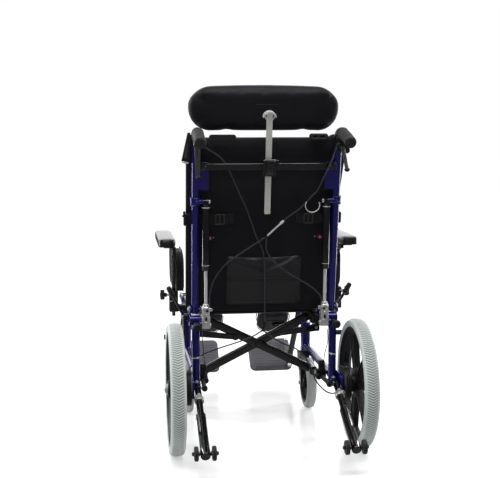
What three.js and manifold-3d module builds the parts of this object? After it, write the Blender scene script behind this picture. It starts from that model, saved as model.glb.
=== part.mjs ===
// A folding wheelchair with a reclining back, elevating legrests and a headrest.
// Millimetres. The chair faces +Y, +X is on its right and +Z is up. The origin is on the
// floor, under the middle of the chair's outline.
//
// Each side of the chair is drawn once, for the right, with +X pointing outboard from the
// plane of its frame tubes. The left side is the same drawing mirrored.
import * as THREE from 'three';
import { mergeVertices } from 'three/addons/utils/BufferGeometryUtils.js';
import Module from 'manifold-3d';

const wasm = await Module();
wasm.setup();

// Driving sizes

const fit = { running: 0.5, seated: 0.3, overrun: 1, weld: 0.6 };
const facets = { tube: 10, bend: 3, small: 8, wheel: 30, corner: 2 };

const frame = {
  halfWidth: 215, tubeRadius: 12.5, uprightY: 60, footHeight: 186, railHeight: 398,
  lowerRailHeight: 213, frontY: 545, rearBend: 45, frontBend: 60, lowerBend: 40,
};
// Heights above the side frame's upper rail, and half widths beyond its tubes
const aboveRail = {
  reclinePin: 32, clevisTop: 13, springFoot: -13, seatRail: -20, linkAnchor: -68, armrestFoot: -18,
  blockFoot: 7, blockTop: 67, knob: 50, guardFoot: 76, cushionTop: 198, padTop: 244, lockPivot: -13,
  legrestHinge: -3,
};
const beyondTubes = { sling: -29, cushion: -17, crossbar: -10, upholstery: 28 };
const rearWheel = {
  radius: 200, tyreWidth: 46, tyreDepth: 26, standOff: 68, rimWidth: 38, rimDepth: 16,
  webThickness: 15, hubRadius: 27, hubWidth: 48, axleRadius: 8, nutRadius: 12, nutLength: 7,
  windowCount: 5, windowInset: 17, spokeWidth: 52, spokeTaper: 0.62, shoulder: 0.8, treadFlat: 0.48,
};
const axlePlate = { thickness: 7, height: 58, overhang: 24, cornerRadius: 12 };
const drum = { radius: 52, width: 22, rimStep: 3, armLength: 62, armWidth: 16, armThickness: 5 };
const caster = {
  radius: 90, width: 34, trail: 52, stemRadius: 7, stemLength: 62, stemBack: 28,
  housingRadius: 17, housingHeight: 102, crownThickness: 8, crownGap: 6, crownWidth: 30,
  legThickness: 5, legWidth: 26, legGap: 6, axleRadius: 5, nutRadius: 8, nutLength: 6,
  hubRadius: 20, hubWidth: 40, webThickness: 12, tyreDepth: 20, headGap: 3,
};
const antiTip = {
  height: 198, socketLength: 42, tubeRadius: 10, insertion: 34, elbow: 24, bend: 30,
  dropAngle: 24.4, reach: 285, tubeLength: 175, sleeveRadius: 14, sleeveLength: 165,
  rollerRadius: 21, rollerSides: 10, rollerWidth: 12, rollerGap: 5, axleRadius: 4, axleEnd: 7,
  buttonRadius: 4, buttonHeight: 2.5, nutRadius: 6.5, nutLength: 5,
};
const pivot = {
  y: 85, height: frame.railHeight + aboveRail.reclinePin, plateHalf: 13, plateThickness: 4, pinRadius: 5,
  headRadius: 8, headLength: 4, blockTop: frame.railHeight + aboveRail.clevisTop,
};
const back = {
  lean: 10, caneTop: 560, handleBend: 45, handleLength: 165, caneFoot: 12, collarRadius: 17,
  collarHeight: 26,
};
const grip = { radius: 16, end: 2.5, collarRadius: 18, collarWidth: 5 };
const lever = {
  clampLength: 14, clampWall: 4, pivotDrop: 32, cheekThickness: 3, cheekGap: 12, cheekRadius: 6.5,
  pinRadius: 3, bladeLength: 104, bladeWidth: 10, bladeThickness: 5, ballRadius: 7, bossRadius: 7,
  restAngleLeft: 58, restAngleRight: 36,
};
const spring = {
  inset: 30, upperHeight: 345, upperSetBack: 12, lowerY: 45,
  lowerHeight: frame.railHeight + aboveRail.springFoot, cylinderRadius: 11.5,
  wall: 1.6, cylinderLength: 201, rodRadius: 5, rodInside: 130, headWidth: 25, headDepth: 22,
  headLength: 58, headFoot: 10, pinRadius: 4, capLength: 8, eyeWidth: 16, eyeRadius: 8,
  pinHeadRadius: 6.5, pinHeadLength: 3, bracketThickness: 4, bracketHalf: 14, armReach: 16,
  armThickness: 6,
};
const crossbar = {
  height: 455, side: 20, halfLength: frame.halfWidth + beyondTubes.crossbar, flangeWidth: 26,
  flangeHeight: 84, flangeThickness: 4,
  boltRadius: 5, boltLength: 3,
};
const headrest = {
  postWidth: 24, postThickness: 6, postFoot: 312, postTop: 622, clampWidth: 42, clampHeight: 52,
  clampWall: 5,
  leverLength: 40, leverThickness: 5, leverWidth: 22, leverPin: 3, ballHeight: 607, ballRadius: 11,
  collarRadius: 15, ballGap: 16, rodRadius: 7, plateWidth: 70, plateHeight: 50, plateThickness: 4,
  padWidth: 462, padHeight: 141, padThickness: 70, padHeightAt: 617, padForward: 27, wing: 26,
  wingPower: 2.4,
};
const upholstery = {
  width: 2 * (frame.halfWidth + beyondTubes.upholstery), height: 537, thickness: 28.7, foot: -4,
  setForward: 0.3, crown: 6, edgeRound: 9,
  pocketWidth: 234, pocketHeight: 158, pocketThickness: 9, pocketFoot: 12,
};
const brace = {
  inset: 34, pivotHeight: 197, railHeight: frame.railHeight + aboveRail.seatRail, tubeRadius: 9,
  tubeBack: 120, tubeFront: 420,
  blockLength: 16, blockHeight: 26, armY: 208, armThickness: 18, armDepth: 30, sleeveRadius: 15,
  sleeveLength: 66, railRadius: 11, railBack: 130, railFront: 528, boltRadius: 10, boltHead: 6,
  saddleLength: 22, saddleBackY: 160, saddleFrontY: 480, saddleFloor: 6, saddleLip: 3.5, saddleWall: 5,
  webThickness: 9,
};
const link = {
  anchorInset: 15, anchorHeight: frame.railHeight + aboveRail.linkAnchor, reach: 75, drop: 12, depth: 24,
  thickness: 5, pinRadius: 5,
  lugHeight: 26, lugThickness: 6, lugNeck: 15, boltRadius: 8, boltHead: 4,
};
const seat = {
  slingHalf: frame.halfWidth + beyondTubes.sling, slingThickness: 3, slingBack: 130, slingFront: 530,
  cushionHalf: frame.halfWidth + beyondTubes.cushion, cushionBack: 134, cushionFront: 524,
  cushionHeight: 55, crown: 9, edgeRound: 10,
};
const armrest = {
  postY: 267, postWidth: 30, postThickness: 10, postX: 57,
  postFoot: frame.railHeight + aboveRail.armrestFoot, blockFoot: frame.railHeight + aboveRail.blockFoot,
  blockTop: frame.railHeight + aboveRail.blockTop, blockWall: 9, bracketHeight: 20, topRailHeight: 12,
  topRailBack: 180, topRailFront: 488, padTop: frame.railHeight + aboveRail.padTop, padThickness: 28,
  padWidth: 55, padBack: 165, padFront: 505, padOverhang: 4, guardThickness: 3, guardBack: 218,
  guardFront: 480, guardFoot: frame.railHeight + aboveRail.guardFoot, guardCorner: 40, edgeRound: 7,
  padCrown: 5, shelfWidth: 38, shelfThickness: 3,
};
const hipPad = {
  thickness: 26, back: 205, front: 425, gapToBlock: 3, top: frame.railHeight + aboveRail.cushionTop,
  corner: 60, crown: 4,
};
const starKnob = {
  height: frame.railHeight + aboveRail.knob, shaftRadius: 4, shaftLength: 16, radius: 17, valley: 11,
  thickness: 13, lobes: 5,
  lobeSteps: 5, bossRadius: 7,
};
const wheelLock = {
  pivotY: 195, pivotHeight: frame.railHeight + aboveRail.lockPivot, hubRadius: 12, hubWidth: 14,
  gapToFrame: 4, pinRadius: 5, shoeRadius: 8,
  shoeOverhang: 2, shoeGap: 18, shoeAngle: 33, armThickness: 9, handleRise: 52, handleOut: 22,
  handleTop: 104,
  gripOut: 62, gripBack: 36, handleRadius: 4.5, gripRadius: 8, gripLength: 34, bracketHeight: 24,
};
const legrest = {
  hingeY: 575, hingeHeight: frame.railHeight + aboveRail.legrestHinge, swing: 43, tubeRadius: 11,
  length: 440, cheekThickness: 4,
  cheekHalf: 13, pinRadius: 5, rodRadius: 6, rodBack: 22, rodFront: 112, plateDrop: 13,
  plateThickness: 10, plateBack: 25, plateFront: 125, plateInner: 154, plateOuter: 14, plateCorner: 22,
  sleeveWall: 4, sleeveBack: 16, sleeveFront: 100, lip: 10, lipThickness: 5,
};
const calfPad = {
  centre: 89, height: 195, halfWidth: 61, halfHeight: 62, thickness: 38, standOff: 10, plateHalf: 24,
  plateThickness: 5, armRadius: 7, crown: 7,
};
const cable = {
  radius: 2.2, ferruleRadius: 4, pipeRadius: 2.8, tieRadius: 4.5, splitterRadius: 5, sides: 6,
  mainSteps: 12, branchSteps: 7, drawnHalfWidth: 215, drawnRailHeight: 398,
};

// Rear axle to the middle of the chair's outline, along Y
const middleY = 347.82;

// Materials

function finish(color, roughness, metalness) {
  return new THREE.MeshStandardMaterial({ color, roughness, metalness });
}

const materials = {
  blue: finish(0x241a66, 0.28, 0.35),
  blackTube: finish(0x121214, 0.3, 0.4),
  blackPlastic: finish(0x19191b, 0.55, 0),
  rubber: finish(0x1d1d1f, 0.85, 0),
  tyre: finish(0xbfc9c1, 0.8, 0),
  casterTyre: finish(0xd6d8d6, 0.7, 0),
  steel: finish(0x9a9a98, 0.3, 0.9),
  zinc: finish(0xb9bab8, 0.4, 0.8),
  fabric: finish(0x131315, 0.95, 0),
  greyPlastic: finish(0x4b4b50, 0.6, 0),
  vinyl: finish(0x1b1b1e, 0.7, 0),
  sheath: finish(0x222224, 0.5, 0),
};

// Geometry helpers

const radians = THREE.MathUtils.degToRad;

function toManifold(geometry) {
  const bare = new THREE.BufferGeometry();
  bare.setAttribute('position', geometry.getAttribute('position'));
  bare.setIndex(geometry.getIndex());
  const merged = mergeVertices(bare);
  const position = merged.getAttribute('position');
  const index = merged.getIndex().array;
  const triangles = [];
  const [a, b, c] = [new THREE.Vector3(), new THREE.Vector3(), new THREE.Vector3()];
  let volume = 0;
  for (let i = 0; i < index.length; i += 3) {
    const [p, q, r] = [index[i], index[i + 1], index[i + 2]];
    if (p === q || q === r || r === p) continue;
    triangles.push(p, q, r);
    volume += a.fromBufferAttribute(position, p)
      .dot(b.fromBufferAttribute(position, q).cross(c.fromBufferAttribute(position, r)));
  }
  if (volume < 0) triangles.reverse();
  return new wasm.Manifold(new wasm.Mesh({
    numProp: 3,
    vertProperties: new Float32Array(position.array),
    triVerts: new Uint32Array(triangles),
  }));
}

function fromManifold(manifold) {
  const { vertProperties, triVerts } = manifold.getMesh();
  const geometry = new THREE.BufferGeometry();
  geometry.setAttribute('position', new THREE.BufferAttribute(new Float32Array(vertProperties), 3));
  geometry.setIndex(new THREE.BufferAttribute(new Uint32Array(triVerts), 1));
  return geometry;
}

function join(...geometries) {
  const [first, ...others] = geometries.flat().map(toManifold);
  return fromManifold(others.reduce((whole, next) => whole.add(next), first));
}

function cut(geometry, ...tools) {
  const solids = tools.flat().map(toManifold);
  return fromManifold(solids.reduce((whole, tool) => whole.subtract(tool), toManifold(geometry)));
}

function mirrored(geometry) {
  const copy = geometry.clone().scale(-1, 1, 1);
  copy.getIndex().array.reverse();
  return copy;
}

function box([x0, x1], [y0, y1], [z0, z1]) {
  return new THREE.BoxGeometry(x1 - x0, y1 - y0, z1 - z0)
    .translate((x0 + x1) / 2, (y0 + y1) / 2, (z0 + z1) / 2);
}

function rodX(radius, [x0, x1], y, z, sides = facets.tube) {
  return new THREE.CylinderGeometry(radius, radius, x1 - x0, sides)
    .rotateZ(-Math.PI / 2).translate((x0 + x1) / 2, y, z);
}

function rodY(radius, [y0, y1], x, z, sides = facets.tube) {
  return new THREE.CylinderGeometry(radius, radius, y1 - y0, sides).translate(x, (y0 + y1) / 2, z);
}

function rodZ(radius, [z0, z1], x, y, sides = facets.tube) {
  return new THREE.CylinderGeometry(radius, radius, z1 - z0, sides)
    .rotateX(Math.PI / 2).translate(x, y, (z0 + z1) / 2);
}

function ball(radius, x, y, z) {
  return new THREE.SphereGeometry(radius, facets.small, facets.small - 2).translate(x, y, z);
}

// A turned solid about X, from pairs of radius and place along X
function turnedX(profile, sides = facets.wheel) {
  const points = profile.map(([r, x]) => new THREE.Vector2(r, x));
  return new THREE.LatheGeometry(points, sides).rotateZ(-Math.PI / 2);
}

// A flat outline drawn in Y and Z, from x0 to x1
const sideways = new THREE.Matrix4().makeBasis(
  new THREE.Vector3(0, 1, 0), new THREE.Vector3(0, 0, 1), new THREE.Vector3(1, 0, 0));

function plateX(shape, [x0, x1], options = {}) {
  const settings = { depth: x1 - x0, bevelEnabled: false, curveSegments: facets.corner, ...options };
  return new THREE.ExtrudeGeometry(shape, settings).applyMatrix4(sideways).translate(x0, 0, 0);
}

// A flat outline drawn in X and Z, from y0 to y1
function plateY(shape, [y0, y1]) {
  const settings = { depth: y1 - y0, bevelEnabled: false, curveSegments: facets.corner };
  return new THREE.ExtrudeGeometry(shape, settings)
    .rotateX(Math.PI / 2).translate(0, y1, 0);
}

// A flat outline drawn in X and Y, from z0 to z1
function plateZ(shape, [z0, z1]) {
  const settings = { depth: z1 - z0, bevelEnabled: false, curveSegments: facets.corner };
  return new THREE.ExtrudeGeometry(shape, settings)
    .translate(0, 0, z0);
}

// The stretch from near to far, on one side of the middle
function onSide(side, near, far) {
  return side > 0 ? [near, far] : [-far, -near];
}

function roundedRectangle([u0, u1], [v0, v1], radius) {
  const shape = new THREE.Shape();
  shape.absarc(u1 - radius, v0 + radius, radius, -Math.PI / 2, 0);
  shape.absarc(u1 - radius, v1 - radius, radius, 0, Math.PI / 2);
  shape.absarc(u0 + radius, v1 - radius, radius, Math.PI / 2, Math.PI);
  shape.absarc(u0 + radius, v0 + radius, radius, Math.PI, 1.5 * Math.PI);
  shape.closePath();
  return shape;
}

// The outline of a strap between two round ends
function strap([u0, v0], [u1, v1], radius0, radius1 = radius0) {
  const along = Math.atan2(v1 - v0, u1 - u0);
  const shape = new THREE.Shape();
  shape.absarc(u0, v0, radius0, along + Math.PI / 2, along + 1.5 * Math.PI);
  shape.absarc(u1, v1, radius1, along - Math.PI / 2, along + Math.PI / 2);
  shape.closePath();
  return shape;
}

function disc(radius) {
  return new THREE.Shape().absarc(0, 0, radius, 0, 2 * Math.PI);
}

// Straight runs joined by round bends, with stations only where the path turns
class BentPath extends THREE.Curve {
  constructor(corners, bend) {
    super();
    this.stations = [corners[0]];
    for (let i = 1; i < corners.length - 1; i += 1) {
      const radius = Array.isArray(bend) ? bend[i - 1] : bend;
      this.stations.push(...BentPath.arc(corners[i - 1], corners[i], corners[i + 1], radius));
    }
    this.stations.push(corners[corners.length - 1]);
  }

  static arc(before, corner, after, bend) {
    const along = corner.clone().sub(before).normalize();
    const next = after.clone().sub(corner).normalize();
    const angle = along.angleTo(next);
    const start = corner.clone().addScaledVector(along, -bend * Math.tan(angle / 2));
    const inward = next.clone().addScaledVector(along, -next.dot(along)).normalize();
    return Array.from({ length: facets.bend + 1 }, (_, step) => {
      const turned = angle * step / facets.bend;
      return start.clone()
        .addScaledVector(along, bend * Math.sin(turned))
        .addScaledVector(inward, bend * (1 - Math.cos(turned)));
    });
  }

  getPoint(t, target = new THREE.Vector3()) {
    const last = this.stations.length - 1;
    const lower = Math.min(Math.floor(t * last), last - 1);
    return target.lerpVectors(this.stations[lower], this.stations[lower + 1], t * last - lower);
  }

  getPointAt(u, target) {
    return this.getPoint(u, target);
  }

  getTangentAt(u, target = new THREE.Vector3()) {
    const last = this.stations.length - 1;
    const here = Math.round(u * last);
    const [next, before] = [this.stations[Math.min(here + 1, last)], this.stations[Math.max(here - 1, 0)]];
    return target.subVectors(next, before).normalize();
  }

  getSpacedPoints() {
    return this.stations.map((station) => station.clone());
  }
}

function tube(corners, radius, bend = radius, sides = facets.tube) {
  const path = new BentPath(corners.map((corner) => new THREE.Vector3(...corner)), bend);
  return new THREE.ExtrudeGeometry(disc(radius), {
    steps: path.stations.length - 1, extrudePath: path, curveSegments: sides / 2,
  });
}

function cord(points, radius, steps) {
  const curve = new THREE.CatmullRomCurve3(points.map((point) => new THREE.Vector3(...point)));
  const settings = { steps, extrudePath: curve, curveSegments: cable.sides / 2 };
  return new THREE.ExtrudeGeometry(disc(radius), settings);
}

// A soft slab: its low and high faces crowned by `crowns`, edges drawn in by `edge`. `out` is the axis
// of its thickness.
const soft = { domePower: 4, edgePower: 7 };

function softSlab([width, depth, height], segments, out, crowns, edge) {
  const geometry = new THREE.BoxGeometry(width, depth, height, ...segments);
  const position = geometry.getAttribute('position');
  const half = [width / 2, depth / 2, height / 2];
  const [u, v] = [0, 1, 2].filter((axis) => axis !== out);
  for (let i = 0; i < position.count; i += 1) {
    const place = [position.getX(i), position.getY(i), position.getZ(i)];
    const share = place.map((value, axis) => value / half[axis]);
    const dome = (1 - share[u] ** soft.domePower) * (1 - share[v] ** soft.domePower);
    const drawn = edge * share[out] ** 2;
    const result = [...place];
    result[out] += share[out] * crowns[share[out] > 0 ? 1 : 0] * (dome - 1);
    result[u] -= drawn * share[u] ** soft.edgePower;
    result[v] -= drawn * share[v] ** soft.edgePower;
    position.setXYZ(i, ...result);
  }
  return geometry;
}

const chair = new THREE.Group();

function addPiece(parent, name, geometry, material, position = [0, 0, 0], rotationX = 0) {
  const mesh = new THREE.Mesh(geometry, material);
  mesh.name = name;
  mesh.position.set(...position);
  mesh.rotation.x = rotationX;
  parent.add(mesh);
  return mesh;
}

// Derived places, shared by pieces that meet

const axle = { y: 0, z: rearWheel.radius };
const stemY = frame.frontY - caster.stemBack;
const housingFoot = 2 * caster.radius + caster.crownGap + caster.crownThickness + caster.headGap;
const leanBack = radians(back.lean);
const armInset = brace.inset;
const armRun = 2 * (frame.halfWidth - armInset);
const armRise = brace.railHeight - brace.pivotHeight;
const upperEye = {
  y: pivot.y - spring.upperSetBack * Math.cos(leanBack) - spring.upperHeight * Math.sin(leanBack),
  z: pivot.height - spring.upperSetBack * Math.sin(leanBack) + spring.upperHeight * Math.cos(leanBack),
};
const springLean = Math.atan2(spring.lowerY - upperEye.y, upperEye.z - spring.lowerHeight);
const springLength = Math.hypot(spring.lowerY - upperEye.y, upperEye.z - spring.lowerHeight);
const clampStart = back.handleBend + fit.overrun;
const barRear = -frame.tubeRadius - crossbar.side;

// Side frame: one bent loop of tube with its brackets, sockets and pins

function frameLoop() {
  const { uprightY, footHeight, railHeight, lowerRailHeight, frontY, tubeRadius } = frame;
  return tube([[0, uprightY, footHeight], [0, uprightY, railHeight], [0, frontY, railHeight],
    [0, frontY, lowerRailHeight], [0, uprightY, lowerRailHeight]],
  tubeRadius, [frame.rearBend, frame.frontBend, frame.lowerBend]);
}

function reclineClevis() {
  const inner = frame.tubeRadius + fit.weld;
  const outer = inner + pivot.plateThickness;
  const foot = frame.railHeight - frame.tubeRadius;
  const cheek = strap([pivot.y, foot], [pivot.y, pivot.height], pivot.plateHalf);
  const between = [pivot.y - pivot.plateHalf, pivot.y + pivot.plateHalf];
  return [
    plateX(cheek, [inner, outer]),
    plateX(cheek, [-outer, -inner]),
    box([-outer, outer], between, [frame.railHeight - frame.tubeRadius, pivot.blockTop]),
    rodX(pivot.pinRadius, [-outer - pivot.headLength, outer + pivot.headLength], pivot.y, pivot.height),
    rodX(pivot.headRadius, [outer - fit.weld, outer + pivot.headLength], pivot.y, pivot.height, facets.small),
    rodX(pivot.headRadius, [-outer - pivot.headLength, -outer + fit.weld], pivot.y, pivot.height,
      facets.small),
  ];
}

function springBracket() {
  const face = -frame.tubeRadius;
  const pinEnd = -spring.inset - spring.headWidth / 2 - fit.seated;
  const eye = [spring.lowerY, spring.lowerHeight];
  const plate = strap(eye, [frame.uprightY + frame.tubeRadius, spring.lowerHeight], spring.bracketHalf);
  return [
    plateX(plate, [face - spring.bracketThickness, face + 2 * fit.overrun]),
    rodX(spring.pinRadius, [pinEnd - spring.pinHeadLength, face], ...eye, facets.small),
    rodX(spring.pinHeadRadius, [pinEnd - spring.pinHeadLength, pinEnd], ...eye, facets.small),
  ];
}

function axleMount() {
  const inner = frame.tubeRadius - fit.overrun;
  const hubEnd = rearWheel.standOff + rearWheel.hubWidth / 2 + fit.running;
  const plate = roundedRectangle([axle.y - axlePlate.overhang, frame.uprightY + frame.tubeRadius],
    [axle.z - axlePlate.height / 2, axle.z + axlePlate.height / 2], axlePlate.cornerRadius);
  return [
    plateX(plate, [inner, inner + axlePlate.thickness]),
    rodX(rearWheel.axleRadius, [inner, hubEnd + rearWheel.nutLength], axle.y, axle.z),
    rodX(rearWheel.nutRadius, [hubEnd, hubEnd + rearWheel.nutLength], axle.y, axle.z, 6),
  ];
}

function casterHead() {
  return rodZ(caster.housingRadius, [housingFoot, housingFoot + caster.housingHeight], 0, stemY);
}

function braceCarrier() {
  const { tubeBack, tubeFront, blockLength, blockHeight, pivotHeight, tubeRadius } = brace;
  const middle = (pivotHeight + frame.lowerRailHeight) / 2;
  const block = (y) => box([-brace.inset - tubeRadius / 2, 0], [y, y + blockLength],
    [middle - blockHeight / 2, middle + blockHeight / 2]);
  return [
    rodY(tubeRadius, [tubeBack, tubeFront], -brace.inset, pivotHeight),
    block(tubeBack),
    block(tubeFront - blockLength),
  ];
}

function saddle(y) {
  const outer = -brace.inset - brace.railRadius - brace.saddleWall;
  const floor = brace.railHeight - brace.railRadius - brace.saddleFloor;
  return [
    box([outer, -frame.tubeRadius + brace.webThickness / 2], [y, y + brace.saddleLength],
      [floor, brace.railHeight - brace.saddleLip]),
    box([-frame.tubeRadius - brace.webThickness / 2, 0], [y, y + brace.saddleLength],
      [floor, frame.railHeight]),
  ];
}

// The link of the right side lies in front of the two arms, that of the left side behind them
function linkPlane(front) {
  const { armY, armThickness } = brace;
  return front
    ? [armY + 2 * armThickness + 2 * fit.running, armY + 2 * armThickness + 2 * fit.running + link.thickness]
    : [armY - fit.running - link.thickness, armY - fit.running];
}

function linkLug(front) {
  const [y0, y1] = linkPlane(front);
  const lug = front ? [y1 + fit.running, y1 + fit.running + link.lugThickness]
    : [y0 - fit.running - link.lugThickness, y0 - fit.running];
  const pin = front ? [y0 - fit.overrun, lug[1]] : [lug[0], y1 + fit.overrun];
  const outer = -link.anchorInset + link.lugHeight / 2;
  const foot = link.anchorHeight - link.lugHeight / 2;
  return [
    box([outer - link.lugHeight, outer], lug, [foot, foot + link.lugHeight]),
    box([outer - link.lugNeck, outer], lug, [foot, frame.railHeight - frame.tubeRadius / 2]),
    rodY(link.pinRadius, pin, -link.anchorInset, link.anchorHeight, facets.small),
  ];
}

function antiTipSocket() {
  return rodY(frame.tubeRadius, [frame.uprightY - antiTip.socketLength, frame.uprightY], 0, antiTip.height);
}

function armrestReceiver() {
  const { postX, postThickness, postY, postWidth, blockWall, blockFoot, blockTop, bracketHeight } = armrest;
  return [
    box([0, postX], [postY - postWidth / 2, postY + postWidth / 2],
      [blockFoot - bracketHeight / 2, blockFoot + bracketHeight / 2]),
    box([postX - postThickness / 2 - blockWall, postX + postThickness / 2 + blockWall],
      [postY - postWidth / 2 - blockWall, postY + postWidth / 2 + blockWall],
      [blockFoot - bracketHeight / 2, blockTop]),
  ];
}

function armrestSlot() {
  const { postX, postThickness, postY, postWidth, blockTop, postFoot } = armrest;
  const half = [postThickness / 2 + fit.running, postWidth / 2 + fit.running];
  return box([postX - half[0], postX + half[0]], [postY - half[1], postY + half[1]],
    [postFoot - 2 * fit.overrun, blockTop + fit.overrun]);
}

function wheelLockBracket() {
  const hubStart = frame.tubeRadius + wheelLock.gapToFrame + fit.running;
  const { pivotY, pivotHeight, hubRadius, bracketHeight } = wheelLock;
  return [
    box([0, hubStart - fit.running], [pivotY - hubRadius, pivotY + hubRadius],
      [pivotHeight - bracketHeight / 2, pivotHeight + bracketHeight / 2]),
    rodX(wheelLock.pinRadius, [0, hubStart + wheelLock.hubWidth], pivotY, pivotHeight, facets.small),
  ];
}

function legrestClevis() {
  const inner = legrest.tubeRadius + fit.weld;
  const outer = frame.tubeRadius + legrest.cheekThickness;
  const cheek = strap([frame.frontY - frame.frontBend, frame.railHeight],
    [legrest.hingeY, legrest.hingeHeight], frame.tubeRadius - fit.overrun, legrest.cheekHalf);
  return [
    plateX(cheek, [inner, outer]),
    plateX(cheek, [-outer, -inner]),
    rodX(legrest.pinRadius, [-outer - fit.overrun, outer + fit.overrun], legrest.hingeY, legrest.hingeHeight),
  ];
}

function sideFrame(front) {
  const socketEnd = frame.uprightY - antiTip.socketLength;
  const bores = [
    rodZ(caster.stemRadius + fit.running,
      [housingFoot - fit.overrun, housingFoot + caster.stemLength], 0, stemY),
    rodY(antiTip.tubeRadius + fit.running,
      [socketEnd - fit.overrun, socketEnd + antiTip.insertion + fit.overrun], 0, antiTip.height),
    rodY(brace.railRadius + fit.running,
      [brace.saddleBackY - fit.overrun, brace.saddleFrontY + brace.saddleLength + fit.overrun],
      -brace.inset, brace.railHeight),
    armrestSlot(),
  ];
  const pieces = [
    frameLoop(), reclineClevis(), springBracket(), axleMount(), casterHead(), braceCarrier(),
    saddle(brace.saddleBackY), saddle(brace.saddleFrontY), linkLug(front), antiTipSocket(),
    armrestReceiver(), wheelLockBracket(), legrestClevis(),
  ];
  return cut(join(...pieces.flat()), bores);
}

// Rear wheel: tyre, moulded wheel and hub brake, about the axle

function tyre() {
  const { radius, tyreWidth, tyreDepth } = rearWheel;
  const half = tyreWidth / 2;
  const seatRadius = radius - tyreDepth;
  const outer = [
    [seatRadius, half * rearWheel.shoulder],
    [radius - tyreDepth / 2, half],
    [radius, half * rearWheel.treadFlat],
  ];
  const inner = outer.map(([r, x]) => [r, -x]);
  return turnedX([...inner, ...outer.reverse(), inner[0]]);
}

function wheelWindow(from, to) {
  const { spokeTaper } = rearWheel;
  const outer = rearWheel.radius - rearWheel.tyreDepth - rearWheel.rimDepth - rearWheel.windowInset / 3;
  const inner = rearWheel.hubRadius + rearWheel.windowInset;
  const narrow = (radius) => Math.asin(rearWheel.spokeWidth / 2 / radius);
  const path = new THREE.Path();
  path.absarc(0, 0, outer, from + narrow(outer), to - narrow(outer));
  path.absarc(0, 0, inner, to - narrow(inner) * spokeTaper, from + narrow(inner) * spokeTaper, true);
  path.closePath();
  return path;
}

function mouldedWheel() {
  const rim = rearWheel.radius - rearWheel.tyreDepth - fit.seated;
  const half = rearWheel.rimWidth / 2;
  const web = disc(rim - rearWheel.rimDepth / 2);
  const turn = 2 * Math.PI / rearWheel.windowCount;
  for (let i = 0; i < rearWheel.windowCount; i += 1) {
    web.holes.push(wheelWindow(i * turn, (i + 1) * turn));
  }
  const middle = [-rearWheel.webThickness / 2, rearWheel.webThickness / 2];
  const spokes = plateX(web, middle, { curveSegments: 2 * facets.corner });
  const seatEdge = rim - rearWheel.rimDepth;
  const ring = turnedX([
    [rim, -half], [rim, half], [seatEdge, middle[1]], [seatEdge, middle[0]], [rim, -half],
  ]);
  const hubHalf = rearWheel.hubWidth / 2;
  const hub = rodX(rearWheel.hubRadius, [-hubHalf, hubHalf], 0, 0);
  const through = [-hubHalf - fit.overrun, hubHalf + fit.overrun];
  const bore = rodX(rearWheel.axleRadius + fit.running, through, 0, 0);
  return cut(join(spokes, ring, hub), bore);
}

function hubBrake() {
  const start = frame.tubeRadius - fit.overrun + axlePlate.thickness + fit.seated;
  const end = start + drum.width;
  const face = drum.radius - drum.rimStep;
  const body = turnedX([
    [0, start], [face, start], [drum.radius, start + drum.rimStep], [drum.radius, end - drum.rimStep],
    [face, end], [0, end],
  ], 2 * facets.small);
  const arm = plateX(strap([0, 0], [drum.armLength, drum.armLength / 3], drum.armWidth, drum.armWidth / 2),
    [start, start + drum.armThickness]);
  const bore = rodX(rearWheel.axleRadius + fit.running, [start - fit.overrun, end + fit.overrun], 0, 0);
  return cut(join(body, arm), bore);
}

// Caster, about its stem

function casterFork() {
  const crownFoot = 2 * caster.radius + caster.crownGap;
  const crownTop = crownFoot + caster.crownThickness;
  const legInner = caster.width / 2 + caster.legGap;
  const legOuter = legInner + caster.legThickness;
  const half = caster.crownWidth / 2;
  const leg = strap([-caster.trail, caster.radius], [0, crownTop - caster.legWidth / 2], caster.legWidth / 2);
  const nutEnd = legOuter + caster.nutLength;
  return join(
    box([-legOuter, legOuter], [-half, half], [crownFoot, crownTop]),
    plateX(leg, [legInner, legOuter]),
    plateX(leg, [-legOuter, -legInner]),
    rodZ(caster.stemRadius, [crownFoot + fit.overrun, crownTop + caster.stemLength], 0, 0),
    rodX(caster.axleRadius, [-nutEnd, nutEnd], -caster.trail, caster.radius, facets.small),
    rodX(caster.nutRadius, [legOuter - fit.weld, nutEnd], -caster.trail, caster.radius, 6),
    rodX(caster.nutRadius, [-nutEnd, -legOuter + fit.weld], -caster.trail, caster.radius, 6),
  );
}

function casterWheel() {
  const half = caster.width / 2;
  const rim = caster.radius - caster.tyreDepth;
  const web = caster.webThickness / 2;
  const hub = Math.min(caster.hubWidth / 2, half + caster.legGap - fit.running);
  const bore = caster.axleRadius + fit.running;
  return turnedX([
    [bore, -hub], [caster.hubRadius, -hub], [caster.hubRadius, -web], [rim, -web], [rim, -half],
    [caster.radius, -half / 2], [caster.radius, half / 2], [rim, half], [rim, web],
    [caster.hubRadius, web], [caster.hubRadius, hub],
    [bore, hub], [bore, -hub],
  ], 2 * facets.small);
}

// Anti-tipper, about the end of its socket; the leg drops backwards

const drop = radians(antiTip.dropAngle);
const elbowY = frame.uprightY - antiTip.socketLength - antiTip.elbow;
const along = (distance) =>
  [0, elbowY - distance * Math.cos(drop), antiTip.height - distance * Math.sin(drop)];

function antiTipTube() {
  const seated = frame.uprightY - antiTip.socketLength + antiTip.insertion;
  return tube([[0, seated, antiTip.height], along(0), along(antiTip.tubeLength)], antiTip.tubeRadius,
    antiTip.bend);
}

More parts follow.
